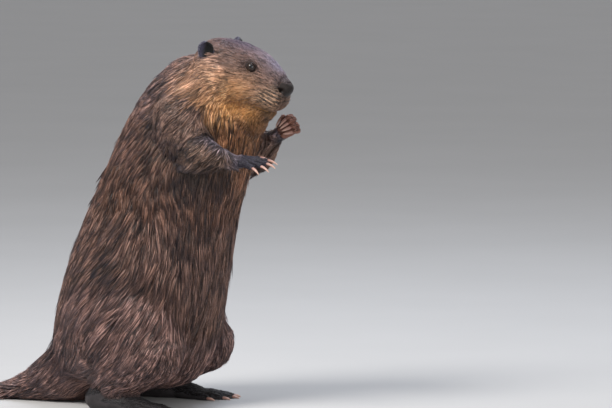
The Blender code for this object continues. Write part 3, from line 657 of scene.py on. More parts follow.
def with_fingers(points, normals, label, nodes):
    """Grooves between neighbouring fingers and toes, and folds across their joints."""
    move = np.zeros(len(points))
    for side, word in SIDE_WORDS.items():
        for limb, part, longer, deeper in PAWS:
            here = is_part(label, part) & (points[:, 1] * side > 0)
            lines = claws_of(nodes, limb, word)
            for (base, tip, _), (next_base, next_tip, _) in zip(lines, lines[1:]):
                middle = (base + next_base) / 2
                forward = unit(unit(tip - base) + unit(next_tip - next_base))
                across = next_base - base
                across = unit(across - forward * dot(across, forward))
                deep = bell((points - middle) @ across, FINGER_CREASE)
                deep = deep * bell(np.linalg.norm(points - middle, axis=1), FINGER_REACH * longer)
                move -= FINGER_DEEP * deep * here * deeper
            for base, tip, _ in lines:
                forward = unit(tip - base)
                along = (points - base) @ forward
                beside = np.linalg.norm(points - base - along[:, None] * forward, axis=1)
                fold = sum(bell(along + place, KNUCKLE_WIDE) for place in KNUCKLES)
                move -= KNUCKLE_DEEP * fold * here * bell(beside, FINGER_HALF)
    return points + normals * move[:, None]


def skin_mesh(nodes, parts, labels, head):
    """One closed skin over all the flesh, inside the tips of the coat by its depth."""
    mesh = remeshed(joined_flesh(nodes, parts), SKIN_VOXEL)
    points, edges = points_of(mesh), edges_of(mesh)
    label = labels.of(points)
    points = spread(points, edges, column(label, "passes"))
    set_points(mesh, points)
    depth = spread(column(label, "depth") * MM, edges, TRAIT_PASSES)
    points = points - normals_of(mesh) * depth[:, None]
    set_points(mesh, points)

    held = head.mirrored(points)
    seen = (held[:, 0] > FINE_AHEAD) | (held[:, 2] < FINE_BELOW)
    mesh = refined(mesh, is_part(label, *FINE_PARTS) & seen)
    mesh = refined(mesh, is_part(labels.of(points_of(mesh)), "forepaw"))
    points, edges = points_of(mesh), edges_of(mesh)
    paws = is_part(labels.of(points), "forepaw")
    share = spread(paws.astype(float), edges, PAW_PASSES)
    snapped = points.copy()
    snapped[paws] = labels.onto(points[paws])
    points = points + (share * paws)[:, None] * (snapped - points)
    set_points(mesh, spread(points, edges, np.where(paws, PAW_SMOOTHING, 0)))
    for reach in FACE_REACHES:
        held = head.mirrored(points_of(mesh))
        at_eye = np.linalg.norm(held - EYE_PLACE, axis=1) < reach
        at_nostril = np.linalg.norm(held - NOSTRIL, axis=1) < reach * NOSTRIL_REACH
        mesh = refined(mesh, at_eye | at_nostril)
    held = head.mirrored(points_of(mesh))
    mesh = refined(mesh, np.linalg.norm(held - EAR_PLACE, axis=1) < EAR_REACH)

    points = spread(points_of(mesh), edges_of(mesh), 2)
    set_points(mesh, points)
    points = with_face(points, normals_of(mesh), head)
    set_points(mesh, points)
    points = with_fingers(points, normals_of(mesh), labels.of(points), nodes)
    points = with_eyelids(points, head)
    points[:, 2] = np.maximum(points[:, 2], 0.0)
    set_points(mesh, points)
    mesh = triangulated(mesh)
    mesh.shade_smooth()
    return mesh


# ---- traits of the coat ----


def guided(places, guides, reach):
    """Directions at places, blended from guides near them."""
    total = np.zeros((len(places), 3))
    for place, direction in guides:
        away = places - np.array(place)
        weight = 1 / (dot(away, away) + reach * reach) ** 2
        total += weight[:, None] * unit(np.array(direction))
    return unit(total)


def forearm_line(word):
    """The middle of the forearm, and the way from there to the middle of the paw."""
    forearm, paw = (np.array(box_middle(f"{part}_{word}")) for part in ("forearm", "forepaw"))
    return forearm, paw - forearm


def lie_of(surface, label, head):
    """The direction in which the coat lies at each point of the skin."""
    points = surface.points
    outward = np.where(points[:, 1:2] < 0, (1.0, -1.0, 1.0), 1.0)
    body = guided(folded(points) / CM, BODY_LIE, BODY_LIE_REACH) * outward
    face = head.to_world(guided(head.mirrored(points), HEAD_LIE, HEAD_LIE_REACH) * outward)
    lie = np.where(is_part(label, *HEAD_PARTS)[:, None], face, body)
    elbow = unit(np.array(ELBOW_LIE))
    for side, word in SIDE_WORDS.items():
        start, reach = forearm_line(word)
        down_forearm = unit(reach)
        along = (points - start) @ down_forearm / np.linalg.norm(reach)
        share = smoothstep(along, *WRIST_SPAN)[:, None]
        forearm = unit(elbow * (1 - share) + (down_forearm + WRIST_DROOP) * share)
        for part, direction in (("upper_arm", elbow), ("forearm", forearm), ("forepaw", down_forearm)):
            here = is_part(label, part) & (points[:, 1] * side > 0)
            lie[here] = np.broadcast_to(direction, lie.shape)[here]
    lie[is_part(label, "hind_foot")] = FOOT_LIE
    lie = unit(spread(lie, surface.edges, LIE_PASSES))
    return unit(lie - surface.normals * dot(lie, surface.normals)[:, None])


def tinted(colour, share, tone):
    """The colours moved by shares towards a tone."""
    return colour + share[:, None] * (np.array(tone) - colour)


def coat_colours_of(surface, label, head):
    """The colour of the coat at each point of the skin, with painted shade in its gaps and hollows and
    painted light on the tops of the paws.
    """
    points, edges = surface.points, surface.edges
    held = head.mirrored(points)
    label = label.copy()
    label[is_part(label, "nose") & (held[:, 2] > NOSE_BARE_BELOW)] = PART_NAMES.index("head")
    base = np.array([PART_COLOURS[part] for part in PARTS])[label]
    small = is_part(label, "nose", "ear", "eye", "forepaw")
    colour = spread(base, edges, np.where(small, EDGE_PASSES, TRAIT_PASSES))
    furred = spread(1.0 - is_part(label, *BARE_PARTS, "tail_blade"), edges, EDGE_PASSES)
    limb = is_part(label, "forearm", "forepaw", "upper_arm")
    for place, radii, tone, strength in BODY_MARKS_AND_SHADE:
        # The darkest marks of the body are painted shade, which falls more fully on the arms.
        on_arm = PAINTED_SHADE_ON_ARM if tone == PAINTED_SHADE_BROWN else MARK_ON_ARM
        share = near(folded(points) / CM, place, radii) * strength * furred * np.where(limb, on_arm, 1.0)
        colour = tinted(colour, share, tone)
    for place, radii, tone, strength in HEAD_MARKS:
        colour = tinted(colour, near(held, place, radii) * strength * furred * ~limb, tone)
    rows = (held[:, 0] * PAD_ROWS[0] + held[:, 2] * PAD_ROWS[1]) / PAD_ROW_STEP
    stripe = smoothstep(np.cos(rows * 2 * math.pi), *PAD_STRIPE)
    stripe = stripe * smoothstep(near(held, PAD_PLACE, PAD_REACH), *PAD_EDGE)
    colour *= (1 - PAD_DARK * stripe)[:, None]
    # Painted shade in the hollow of the ear.
    hollow_shade = smoothstep(near(held, EAR_HOLLOW, EAR_HOLLOW_RADII), *EAR_SHADE_SPAN) * is_part(label, "ear")
    colour = tinted(colour, hollow_shade, EAR_HOLLOW_SHADE)
    colour = tinted(colour, bare_forearm(surface, label), FOREARM_SLATE)
    paw = is_part(label, "forepaw")
    colour[paw & (points[:, 1] > 0)] = FIST_BROWN
    # Painted light and shade: the paws lighter where they face up and darker where they face down.
    facing_up = smoothstep(surface.normals[:, 2], 0.1, 0.9)
    colour *= np.where(paw, PAW_SHADE + PAW_TOP_LIGHT * facing_up, 1.0)[:, None]
    for side in SIDE_WORDS:
        local, away = around_eye(points, head, side)
        lid = (1 - smoothstep(away, *LID_DARK)) * (np.abs(local[:, 2]) < EYE_NEAR)
        colour = tinted(colour, lid, LID_BLACK)
        colour = tinted(colour, LOWER_LID_PALE * near(local, LOWER_LID, LOWER_LID_RADII), TAN)
    return np.clip(colour, DARKEST, 1)


def bare_forearm(surface, label):
    """1 where the forearm has only short slate hair: the top of the near one, and both wrists."""
    share = np.zeros(len(label))
    for side, word in SIDE_WORDS.items():
        start, reach = forearm_line(word)
        along = (surface.points - start) @ reach / dot(reach, reach)
        top = smoothstep(surface.normals[:, 2], *ARM_TOP) * smoothstep(along, *ARM_TOP_FROM)
        top = top * (side == RIGHT)
        here = is_part(label, "forearm") & (surface.points[:, 1] * side > 0)
        share[here] = np.maximum(top, smoothstep(along, *WRIST_BARE))[here]
    return spread(share, surface.edges, ARM_PASSES)


def traits_of(surface, label, head):
    """Depth, length, width and number of tufts at each point, in metres and per square metre."""
    held, level = head.mirrored(surface.points), surface.normals[:, 2]
    scales = {"depth": MM, "length": MM, "width": MM, "number": PER_SQUARE_CM}
    traits = {}
    for name, scale in scales.items():
        passes = TRAIT_PASSES if name == "depth" else SIZE_PASSES
        traits[name] = spread(column(label, name) * scale, surface.edges, passes)
    shown = 1.0 - is_part(label, "tail_blade")
    for side in SIDE_WORDS:
        local, away = around_eye(surface.points, head, side)
        close = np.abs(local[:, 2]) < EYE_NEAR
        shown = shown * np.where(close, smoothstep(away, *LID_FURRED), 1.0)
        small = np.where(close, smoothstep(away, *LID_SHORT), 1.0)
        traits["length"] *= 0.3 + 0.7 * small
        traits["width"] *= 0.5 + 0.5 * small
    muzzle = smoothstep(held[:, 0], *MUZZLE_SPAN) * is_part(label, "head", "lower_jaw")
    traits["length"] *= 1 - MUZZLE_SHORTER * muzzle
    traits["length"] *= 1 + CHEEK_RUFF_LONGER * near(held, CHEEK_RUFF, CHEEK_RUFF_RADII)
    before_ear = near(held, EAR_TUFT, EAR_TUFT_RADII)
    traits["length"] *= 1 + EAR_TUFT_LONGER * before_ear
    traits["depth"] += EAR_TUFT_DEEPER * before_ear
    forearm = bare_forearm(surface, label)
    traits["length"] *= 1 - FOREARM_SHORTER * forearm
    traits["depth"] *= 1 - FOREARM_FLATTER * forearm
    traits["width"] *= 1 - FOREARM_FINER * forearm
    below = smoothstep(-level, *HANG_BELOW) * is_part(label, "upper_arm", "forearm") * (1 - forearm)
    traits["hang"] = spread(HANG * below, surface.edges, HANG_PASSES)
    for part in BARE_PARTS:
        here = is_part(label, part)
        own = {name: column(label[here], name) * scale for name, scale in scales.items()}
        own["length"] = np.minimum(traits["length"][here], own["length"])
        for name, values in own.items():
            traits[name][here] = values
    in_ear = is_part(label, "ear") & (near(held, EAR_HOLLOW, EAR_HOLLOW_RADII) > EAR_BARE)
    on_nose = is_part(label, "nose") & (held[:, 2] < NOSE_BARE_BELOW)
    palms = is_part(label, "forepaw", "hind_foot") & (level < PALM_LEVEL)
    mouth = near(held, MOUTH_BARE, MOUTH_BARE_RADII) > MOUTH_BARE_SHARE
    shown[in_ear | on_nose | palms | mouth | (surface.points[:, 2] < SOLE_LEVEL)] = 0.0
    traits["number"] *= shown
    return traits


# ---- tufts ----

COAT_SHARE = 1.0
THICKNESS = 0.42  # of a tuft's width
UV_PATCH = 0.003
SKIN_SHADE_UNDER_COAT, FULLY_COVERED = 0.70, 8e4  # painted shade of the skin under the coat, and the tufts on a square metre where it is full
STRAY_SHARE, STRAY_STEEPER, STRAY_HIGHER = 0.07, 1.45, 0.0012
STRAY_LEVELS = (0.4, 0.6)  # of the rise, at once and by the tip
LEAST_DEPTH, INNER_RISE, OUTER_RISE = 0.0005, (0.30, 1.0), (0.95, 1.25)  # the rises are of the depth
OUTER_LONGER, OUTER_FINER, OUTER_PALER = 0.30, 0.20, (0.10, 0.55)
LENGTHS, WIDTHS, ROLL = (0.75, 1.25), (0.65, 1.3), 0.35
LOOSE_LENGTHS = (0.006, 0.020)  # over which tufts come to sway more
OWN_SWAY, LOOSE_SWAY, WAVY_SWAY, LOOSE_WAVY_SWAY = 0.07, 0.17, 0.04, 0.06  # radians
BROAD_WAVES, FINE_WAVES = 0.07, 0.018  # the lengths of the sways over the skin
CLUMP_LENGTH, CLUMP_SCALES = 0.026, (0.25, 1.2)  # of tufts whose clumps have their full spacing
CLUMP_REACH, CLUMP_BREADTH, CLUMP_CURVE, MOST_OUTNESS = 2.2, 0.16, 1.2, 1.2
# How light a tuft is: by its fine and broad streaks, clump, lock, own chance, and painted shade away from
# the middle of its clump.
BY_STREAKS, BY_CLUMP, BY_LOCK, BY_CHANCE, SHADE_AWAY_FROM_MIDDLE = (0.30, 0.20), 0.08, 0.06, 0.12, 0.50
USUAL_LIGHT, MOST_LIGHT, USUAL_OUTNESS = -0.16, 0.66, 0.45
CALM_BASES, CALMER = (0.12, 0.30), 0.40  # less contrast where the coat is light
WARMTH, WARM_LOCKS = 0.03, 0.02
FADED_TINT = np.array((1.06, 0.97, 0.97))
STREAK_STEPS, STREAK_STRIDE = 22, 1.20  # a streak's length, in steps of this many widths
CELL_MIXERS, CELL_SHADES = np.array((73856093, 19349663, 83492791)), 4093
PATH_FLOOR, FLOOR_GAP = 0.0012, 0.0002  # the least height of tufts, and of all their points
MOST_TRIANGLES = 190_000


class TuftKind:
    """How one kind of tuft is built: its stations, its width and rise at each, and its tones."""

    def __init__(
        self, ending, stations, swells, levels=(), tones=(),
        clumps=(), contrast=0.0, fading=0.0, streaks=(), outer_share=0.0,
    ):
        self.ending = ending  # of its pieces' names
        self.stations = np.array(stations)  # along the tuft, the last one its tip
        self.swells = np.array(swells)  # of its width, at all stations but the tip
        self.levels = np.array(levels)  # how far it has risen at each station
        self.tones = np.array(tones)  # its brightness at each station
        self.clumps = clumps  # spacing on the body, and how tightly tufts draw together
        self.contrast = contrast  # between light and dark tufts
        self.fading = fading  # how grey the light ones are
        self.streaks = streaks  # the widths of fine and broad streaks
        self.outer_share = outer_share  # of tufts that are longer, paler and lie over the rest

    def rings(self):
        return len(self.swells)

    def size(self):
        return 3 * self.rings() + 1

    def by_station(self, values):
        """One value for each station, repeated for each point of the tuft."""
        return np.repeat(values, [3] * self.rings() + [1])

    def faces(self):
        """The triangles of one tuft, with its root end closed."""
        faces = [(0, 1, 2)]
        for ring in range(0, 3 * (self.rings() - 1), 3):
            for side in range(3):
                a, b = ring + side, ring + (side + 1) % 3
                faces += [(a, a + 3, b), (b, a + 3, b + 3)]
        last, tip = 3 * (self.rings() - 1), 3 * self.rings()
        faces += [(last + side, tip, last + (side + 1) % 3) for side in range(3)]
        return np.array(faces)


def repeated(pattern, size, count, start=0):
    """The triangles of a number of like shapes, each with the same number of points."""
    return (pattern[None] + (start + size * np.arange(count))[:, None, None]).reshape(-1, 3)


LONG = TuftKind(
    "_long", (0.0, 0.44, 1.0), (0.90, 1.0), (-0.06, 0.78, 1.0), (0.29, 0.98, 1.42),
    ((0.0046, 0.80), (0.0120, 0.34)), 2.0, 0.22, (0.0019, 0.0034), 0.26,
)
SHORT = TuftKind(
    "_short", (0.0, 0.45, 1.0), (0.70, 1.0), (-0.06, 0.75, 1.0), (0.54, 1.02, 1.26),
    ((0.0060, 0.50), (0.0160, 0.26)), 0.80, 0.15, (0.0014, 0.0030), 0.15,
)
WHISKER = TuftKind("", (0.0, 0.2, 0.45, 0.72, 1.0), (1.0, 0.85, 0.62, 0.36))
ROW_HAIR = TuftKind("", (0.0, 0.3, 0.7, 1.0), (0.7, 1.0, 0.8))
SHORT_BELOW = 0.0125  # tufts shorter than this are of the short kind


def roots_on(surface, number, rng):
    """Random places on the skin, as dense as asked, with their triangles and weights."""
    corners = surface.points[surface.triangles]
    first, second = corners[:, 1] - corners[:, 0], corners[:, 2] - corners[:, 0]
    areas = np.linalg.norm(np.cross(first, second), axis=1) / 2
    expected = areas * number[surface.triangles].mean(1) * COAT_SHARE
    total = int(expected.sum())
    edges = np.cumsum(expected)
    picks = (np.arange(total) + rng.uniform(0, 1, total)) * edges[-1] / total
    faces = np.minimum(np.searchsorted(edges, picks), len(areas) - 1)
    first, second = rng.uniform(size=(2, total))
    root = np.sqrt(first)
    weights = np.stack([1 - root, root * (1 - second), root * second], axis=1)
    return faces, weights


def tuft_paths(kind, pelt, faces, weights, outer, rng):
    """The middle line of each tuft, along the lie of the coat and risen above the skin. The outer
    tufts are longer and lie over the rest."""
    count, surface = len(faces), pelt.surface
    at = surface.at
    spot, root_normal = at(surface.points, faces, weights), unit(at(surface.normals, faces, weights))
    length = at(pelt.traits["length"], faces, weights) * rng.uniform(*LENGTHS, count)
    length = length * (1 + OUTER_LONGER * outer)
    rise = np.where(outer, rng.uniform(*OUTER_RISE, count), rng.uniform(*INNER_RISE, count))
    rise = np.maximum(at(pelt.traits["depth"], faces, weights), LEAST_DEPTH) * rise
    stray = rng.uniform(size=count) < STRAY_SHARE
    rise = np.where(stray, rise * STRAY_STEEPER + STRAY_HIGHER, rise)
    loose = smoothstep(length, *LOOSE_LENGTHS)
    swing = rng.normal(0.0, OWN_SWAY, count) + LOOSE_SWAY * loose * ripples(spot, BROAD_WAVES, 11)
    swing += (WAVY_SWAY + LOOSE_WAVY_SWAY * loose) * ripples(spot, FINE_WAVES, 12)
    hang = (at(pelt.traits["hang"], faces, weights) * rng.uniform(0.5, 1.0, count))[:, None]
    falling = unit(at(pelt.lie, faces, weights) + np.array(FALLING))
    path, normals = [], []
    place, normal, before = spot, root_normal, 0.0
    for station, level in zip(kind.stations, kind.levels):
        lifted = np.where(stray, STRAY_LEVELS[0] + STRAY_LEVELS[1] * station, 1.0)
        risen = (rise * (level * lifted))[:, None]
        if station:
            heading = at(pelt.lie, faces, weights)
            heading = unit(heading - normal * dot(heading, normal)[:, None])
            heading = turned(heading, np.cross(normal, heading), swing)
            stride = (station - before) * length
            place, faces, weights = surface.nearest(place + heading * stride[:, None])
            normal = unit(at(surface.normals, faces, weights))
        hung = spot + falling * (station * length)[:, None] + root_normal * risen
        path.append((place + normal * risen) * (1 - hang) + hung * hang)
        normals.append(normal)
        before = station
    return np.stack(path, 1), np.stack(normals, 1)


def nearest_leader(roots, chosen):
    """For each root, the nearest of the chosen ones."""
    leaders = np.flatnonzero(chosen)
    tree = KDTree(len(leaders))
    for leader in leaders:
        tree.insert(roots[leader], int(leader))
    tree.balance()
    return np.array([tree.find(root)[1] for root in roots.tolist()])


def clumped(kind, paths, normals, spacing, pull, number, scale, rng):
    """Draws each tuft towards its clump's leading tuft, more towards the tip. Gives the paths, the
    leaders, and how far out in its clump each tuft stands."""
    roots = paths[:, 0]
    chance = 1 / np.maximum(number * (spacing * scale) ** 2, 1.0)
    leader = nearest_leader(roots, rng.uniform(size=len(roots)) < chance)
    alike = dot(normals[:, 0], normals[leader, 0]) > 0.5
    away = np.linalg.norm(roots - roots[leader], axis=1) / (spacing * scale)
    strength = pull * (alike & (away < CLUMP_REACH))
    amount = strength[:, None, None] * (kind.stations ** CLUMP_CURVE)[None, :, None]
    beside = paths[leader] + CLUMP_BREADTH * (roots - roots[leader])[:, None, :]
    return paths + amount * (beside - paths), leader, np.clip(away, 0, MOST_OUTNESS)


def tuft_rings(kind, paths, normals, widths, rng):
    """The points of every tuft: three-sided rings and a tip."""
    roll = rng.normal(0.0, ROLL, len(paths))
    points = np.empty((len(paths), kind.size(), 3))
    for ring, swell in enumerate(kind.swells):
        along = unit(paths[:, ring + 1] - paths[:, max(ring - 1, 0)])
        aside = unit(np.cross(along, normals[:, ring]))
        up = np.cross(aside, along)
        half = (widths * swell / 2)[:, None]
        middle, across = paths[:, ring], turned(aside, up, roll) * half
        points[:, 3 * ring] = middle - across
        points[:, 3 * ring + 1] = middle + turned(up, -aside, roll) * half * 2 * THICKNESS
        points[:, 3 * ring + 2] = middle + across
    points[:, -1] = paths[:, -1]
    return points


def triangle_mesh(name, points, triangles):
    """A mesh straight from arrays of points and triangles."""
    mesh = bpy.data.meshes.new(name)
    mesh.vertices.add(len(points))
    mesh.vertices.foreach_set("co", points.astype(np.float32).ravel())
    mesh.loops.add(triangles.size)
    mesh.loops.foreach_set("vertex_index", triangles.astype(np.int32).ravel())
    mesh.polygons.add(len(triangles))
    mesh.polygons.foreach_set("loop_start", np.arange(0, triangles.size, 3, dtype=np.int32))
    mesh.update(calc_edges=True)
    mesh.shade_smooth()
    return mesh


def add_colours(mesh, colours):
    layer = mesh.color_attributes.new("coat", "FLOAT_COLOR", "POINT")
    filled = np.ones((len(colours), 4), np.float32)
    filled[:, :3] = colours
    layer.data.foreach_set("color", filled.ravel())


def add_values(mesh, name, values):
    layer = mesh.attributes.new(name, "FLOAT", "POINT")
    layer.data.foreach_set("value", values.astype(np.float32))


def add_uv(mesh, uv):
    """A UV map, from one place for each point of the mesh."""
    layer = mesh.uv_layers.new(name="OFBake")
    corners = np.empty(len(mesh.loops), np.int32)
    mesh.loops.foreach_get("vertex_index", corners)
    layer.data.foreach_set("uv", uv[corners].astype(np.float32).ravel())


class Unwrap:
    """An unwrap of the skin's own shape, read at any place near it."""

    VOXEL = 0.009

    def __init__(self, skin):
        item = new_object("unwrap", triangulated(remeshed(skin.data.copy(), self.VOXEL)))
        bpy.context.view_layer.objects.active = item
        item.select_set(True)
        bpy.ops.object.mode_set(mode="EDIT")
        bpy.ops.mesh.select_all(action="SELECT")
        bpy.ops.uv.smart_project(angle_limit=math.radians(66.0), island_margin=0.004)
        bpy.ops.object.mode_set(mode="OBJECT")
        self.surface = Surface(item.data)
        self.uv = read(item.data.uv_layers[0].data, "uv", 2).reshape(-1, 3, 2)
        bpy.data.objects.remove(item)

    def at(self, places):
        _, faces, weights = self.surface.nearest(places)
        uv = (self.uv[faces] * weights[:, :, None]).sum(1)
        return np.clip(uv, UV_PATCH, 1 - UV_PATCH)


class Pelt:
    """The skin, with all that its coat needs to know at each point."""

    def __init__(self, surface, label, head):
        self.surface, self.label = surface, label
        self.lie = lie_of(surface, label, head)
        self.coat_colours = coat_colours_of(surface, label, head)
        self.traits = traits_of(surface, label, head)


FAMILIES = {
    "head": ("head", "lower_jaw", "nose", "eye"), "ear": ("ear",), "neck": ("neck",), "chest": ("chest",),
    "belly": ("belly",), "rump": ("rump",), "tail": ("tail_root", "tail_blade"),
    "arm": ("upper_arm", "forearm", "forepaw"), "leg": ("thigh", "shank", "hind_foot"),
}


def piece_names(label, places, joined):
    """The coat piece that each tuft belongs to, with some parts joined to other families."""
    families = {part: joined.get(part, family) for family, parts in FAMILIES.items() for part in parts}
    family = np.array([families[name] for name in PART_NAMES])[label]
    word = np.where(places[:, 1] < 0, "right", "left")
    return np.char.add(np.char.add(family, "_"), word)


def streaks_of(roots, headings, width, table):
    """A shade for each tuft that stays much the same along the lie and changes across it."""
    total = np.zeros(len(roots))
    for step in range(STREAK_STEPS):
        places = roots - headings * (step * STREAK_STRIDE * width)
        cells = np.floor(places / width).astype(np.int64)
        total += table[(cells @ CELL_MIXERS) % len(table)]
    return total / math.sqrt(STREAK_STEPS)


def tuft_tones(kind, base, leaders, outness, shades, streaks, outer, rng):
    """The colour along each tuft, varied by streak, clump and tuft, with painted shade between clumps."""
    count = len(base)
    pale = outer * rng.uniform(*OUTER_PALER, count)
    light = BY_STREAKS[0] * streaks[0] + BY_STREAKS[1] * streaks[1]
    light = light + BY_CLUMP * shades[leaders[0]] + BY_LOCK * shades[leaders[1]]
    # Painted shade: tufts away from the middle of their clump are darker.
    light += rng.normal(0, BY_CHANCE, count) + pale + USUAL_LIGHT - SHADE_AWAY_FROM_MIDDLE * (outness - USUAL_OUTNESS)
    light = np.minimum(light, MOST_LIGHT)
    warm = rng.normal(0, WARMTH, count) + WARM_LOCKS * shades[leaders[1]]
    swing = kind.contrast * (1 - CALMER * smoothstep(base.mean(1), *CALM_BASES))
    tone = base * np.exp(swing * light)[:, None] * np.stack([1 + warm, np.ones(count), 1 - warm], 1)
    faded = (kind.fading * smoothstep(light, 0.0, MOST_LIGHT))[:, None]
    tone += faded * (tone.mean(1, keepdims=True) * FADED_TINT - tone)
    return np.clip(tone[:, None, :] * kind.by_station(kind.tones)[None, :, None], 0.002, 0.95)


def make_tufts(kind, chosen, rng, pelt, roots_at, unwrap, material):
    """All the tufts of one kind, as one piece for each side of each region."""
    faces, weights = (values[chosen] for values in roots_at)
    surface, count = pelt.surface, len(faces)
    fields = [pelt.traits[name] for name in ("number", "width", "length")]
    fields += [surface.points, pelt.lie, pelt.coat_colours]
    read_there = [surface.at(field, faces, weights) for field in fields]
    number, widths, lengths, roots, headings, coat_colours = read_there
    outer = rng.uniform(size=count) < kind.outer_share
    widths = widths * rng.uniform(*WIDTHS, count) * (1 - OUTER_FINER * outer)
    scale = np.clip(lengths / CLUMP_LENGTH, *CLUMP_SCALES)
    paths, normals = tuft_paths(kind, pelt, faces, weights, outer, rng)
    leaders, outness = [], 0
    for spacing, pull in kind.clumps:
        paths, leader, away = clumped(kind, paths, normals, spacing, pull, number * COAT_SHARE, scale, rng)
        leaders.append(leader)
        outness = outness + away / len(kind.clumps)
    paths[:, :, 2] = np.maximum(paths[:, :, 2], PATH_FLOOR)
    shades = np.clip(rng.normal(0, 1, count), -2, 2)
    table = rng.normal(0, 1, CELL_SHADES)
    # The fine streak is read at the tuft's own root, the broad one at its leader's.
    guides = zip((np.arange(count), leaders[0]), kind.streaks)
    streaks = [streaks_of(roots[guide], headings[guide], width, table) for guide, width in guides]
    tones = tuft_tones(kind, coat_colours, leaders, outness, shades, streaks, outer, rng)
    points = tuft_rings(kind, paths, normals, widths, rng)
    points[:, :, 2] = np.maximum(points[:, :, 2], FLOOR_GAP)
    across = np.array((-0.5, 0.0, 0.5) * kind.rings() + (0.0,))
    patch = np.stack([across, kind.by_station(kind.stations - 0.5)], 1) * UV_PATCH
    uv = unwrap.at(roots)[:, None] + patch[None]
    joined = {"neck": "head", "tail_root": "leg"} if kind is SHORT else {}
    owner = piece_names(pelt.label[surface.triangles[faces, 0]], roots, joined)
    for name in sorted(set(owner)):
        mine = owner == name
        triangles = repeated(kind.faces(), kind.size(), mine.sum())
        name = f"coat_{name}{kind.ending}"
        if len(triangles) > MOST_TRIANGLES:
            raise ValueError(f"{name} has {len(triangles)} triangles")
        mesh = triangle_mesh(name, points[mine].reshape(-1, 3), triangles)
        add_colours(mesh, tones[mine].reshape(-1, 3))
        add_uv(mesh, uv[mine].reshape(-1, 2))
        piece = new_object(name, mesh, material)
        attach(piece, "root")
        print(f"{name}: {mine.sum()} tufts, {len(triangles)} triangles")


def make_coat(pelt, unwrap, material):
    rng = np.random.default_rng(SEED)
    roots_at = roots_on(pelt.surface, pelt.traits["number"], rng)
    short = pelt.surface.at(pelt.traits["length"], *roots_at) < SHORT_BELOW
    for kind, chosen in ((LONG, ~short), (SHORT, short)):
        make_tufts(kind, chosen, rng, pelt, roots_at, unwrap, material)


WHISKER_ROWS, WHISKERS_IN_ROW, HAIRS_IN_ROW = 4, 6, 3
WHISKER_WIDTH, WHISKER_LENGTHS, WHISKER_SINK = 0.00050, (0.016, 0.046), 0.001
WHISKER_STEP, WHISKER_SHIFT, WHISKER_SCATTER = 0.38, 0.12, 0.03
ROW_HAIR_STEP, ROW_HAIR_SHIFT, ROW_HAIR_SCATTER, ROW_HAIR_LENGTH = 0.55, 0.1, 0.06, 0.50
ROW_HAIR_WIDTH, ROW_HAIR_RISE, ROW_HAIR_ROOT = 0.0010, 0.0026, 0.0012


def on_pad(surface, head, side, forward, up):
    """The place and normal of the skin at the side of the muzzle, or None beyond it."""
    outside = Vector(head.world((forward, side * PAD_OUTSIDE, up)))
    return surface.tree.ray_cast(outside, Vector((0, -side, 0)))[:2]


def row_level(row, forward):
    return PAD_TOP - PAD_ROW_STEP * row - PAD_ROWS[0] * (forward - PAD_PLACE[0])


def pad_rows(surface, head, rng):
    """Short dark hairs laid end to end along the rows of the whisker pads."""
    paths, normals = [], []
    for side, row, place in itertools.product(SIDE_WORDS, range(WHISKER_ROWS), range(HAIRS_IN_ROW)):
        start = PAD_FRONT - ROW_HAIR_STEP * place - ROW_HAIR_SHIFT * (row % 2)
        start += rng.normal(0, ROW_HAIR_SCATTER)
        forwards = [start - ROW_HAIR_LENGTH * station for station in ROW_HAIR.stations]
        hits = [on_pad(surface, head, side, forward, row_level(row, forward)) for forward in forwards]
        if all(hit is not None for hit, _ in hits):
            rises = [ROW_HAIR_ROOT] + [ROW_HAIR_RISE] * (len(hits) - 1)
            paths.append([np.array(hit + normal * rise) for (hit, normal), rise in zip(hits, rises)])
            normals.append([np.array(normal) for _, normal in hits])
    return np.array(paths), np.array(normals)


def pad_whiskers(surface, head, rng):
    """Whiskers in rows on the whisker pads, swept back and down."""
    paths, normals = [], []
    for side, row, place in itertools.product(SIDE_WORDS, range(WHISKER_ROWS), range(WHISKERS_IN_ROW)):
        forward = PAD_FRONT - WHISKER_STEP * place + WHISKER_SHIFT * (row % 2)
        forward += rng.normal(0, WHISKER_SCATTER)
        up = row_level(row, forward) + rng.normal(0, WHISKER_SCATTER)
        hit, normal = on_pad(surface, head, side, forward, up)
        if hit is None:
            continue
        hit, normal, share = np.array(hit), np.array(normal), place / (WHISKERS_IN_ROW - 1)
        low, high = WHISKER_LENGTHS
        length = (low + (high - low) * share) * rng.uniform(0.75, 1.1)
        start = np.array((-0.45, side * (0.55 + 0.1 * share), -0.15 - 0.09 * row))
        start = unit(start + rng.normal(0, 0.05, 3))
        bend = np.array((-0.35, side * 0.05, -0.30))
        steps = WHISKER.stations[:, None]
        paths.append(hit - normal * WHISKER_SINK + head.to_world(start * steps + bend * steps ** 2) * length)
        normals.append(np.tile(normal, (len(steps), 1)))
    return np.array(paths), np.array(normals)


def make_whiskers(surface, head, material):
    rng = np.random.default_rng(SEED + 1)
    kinds = ((WHISKER, pad_whiskers, WHISKER_WIDTH), (ROW_HAIR, pad_rows, ROW_HAIR_WIDTH))
    hairs = [(kind, *laid(surface, head, rng), width) for kind, laid, width in kinds]
    all_points, all_triangles, start = [], [], 0
    for kind, paths, normals, width in hairs:
        points = tuft_rings(kind, paths, normals, np.full(len(paths), width), rng).reshape(-1, 3)
        all_triangles.append(repeated(kind.faces(), kind.size(), len(paths), start))
        all_points.append(points)
        start += len(points)
    mesh = triangle_mesh("whiskers", np.concatenate(all_points), np.concatenate(all_triangles))
    piece = new_object("whiskers", mesh, material)
    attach(piece, "root")


# ---- materials ----


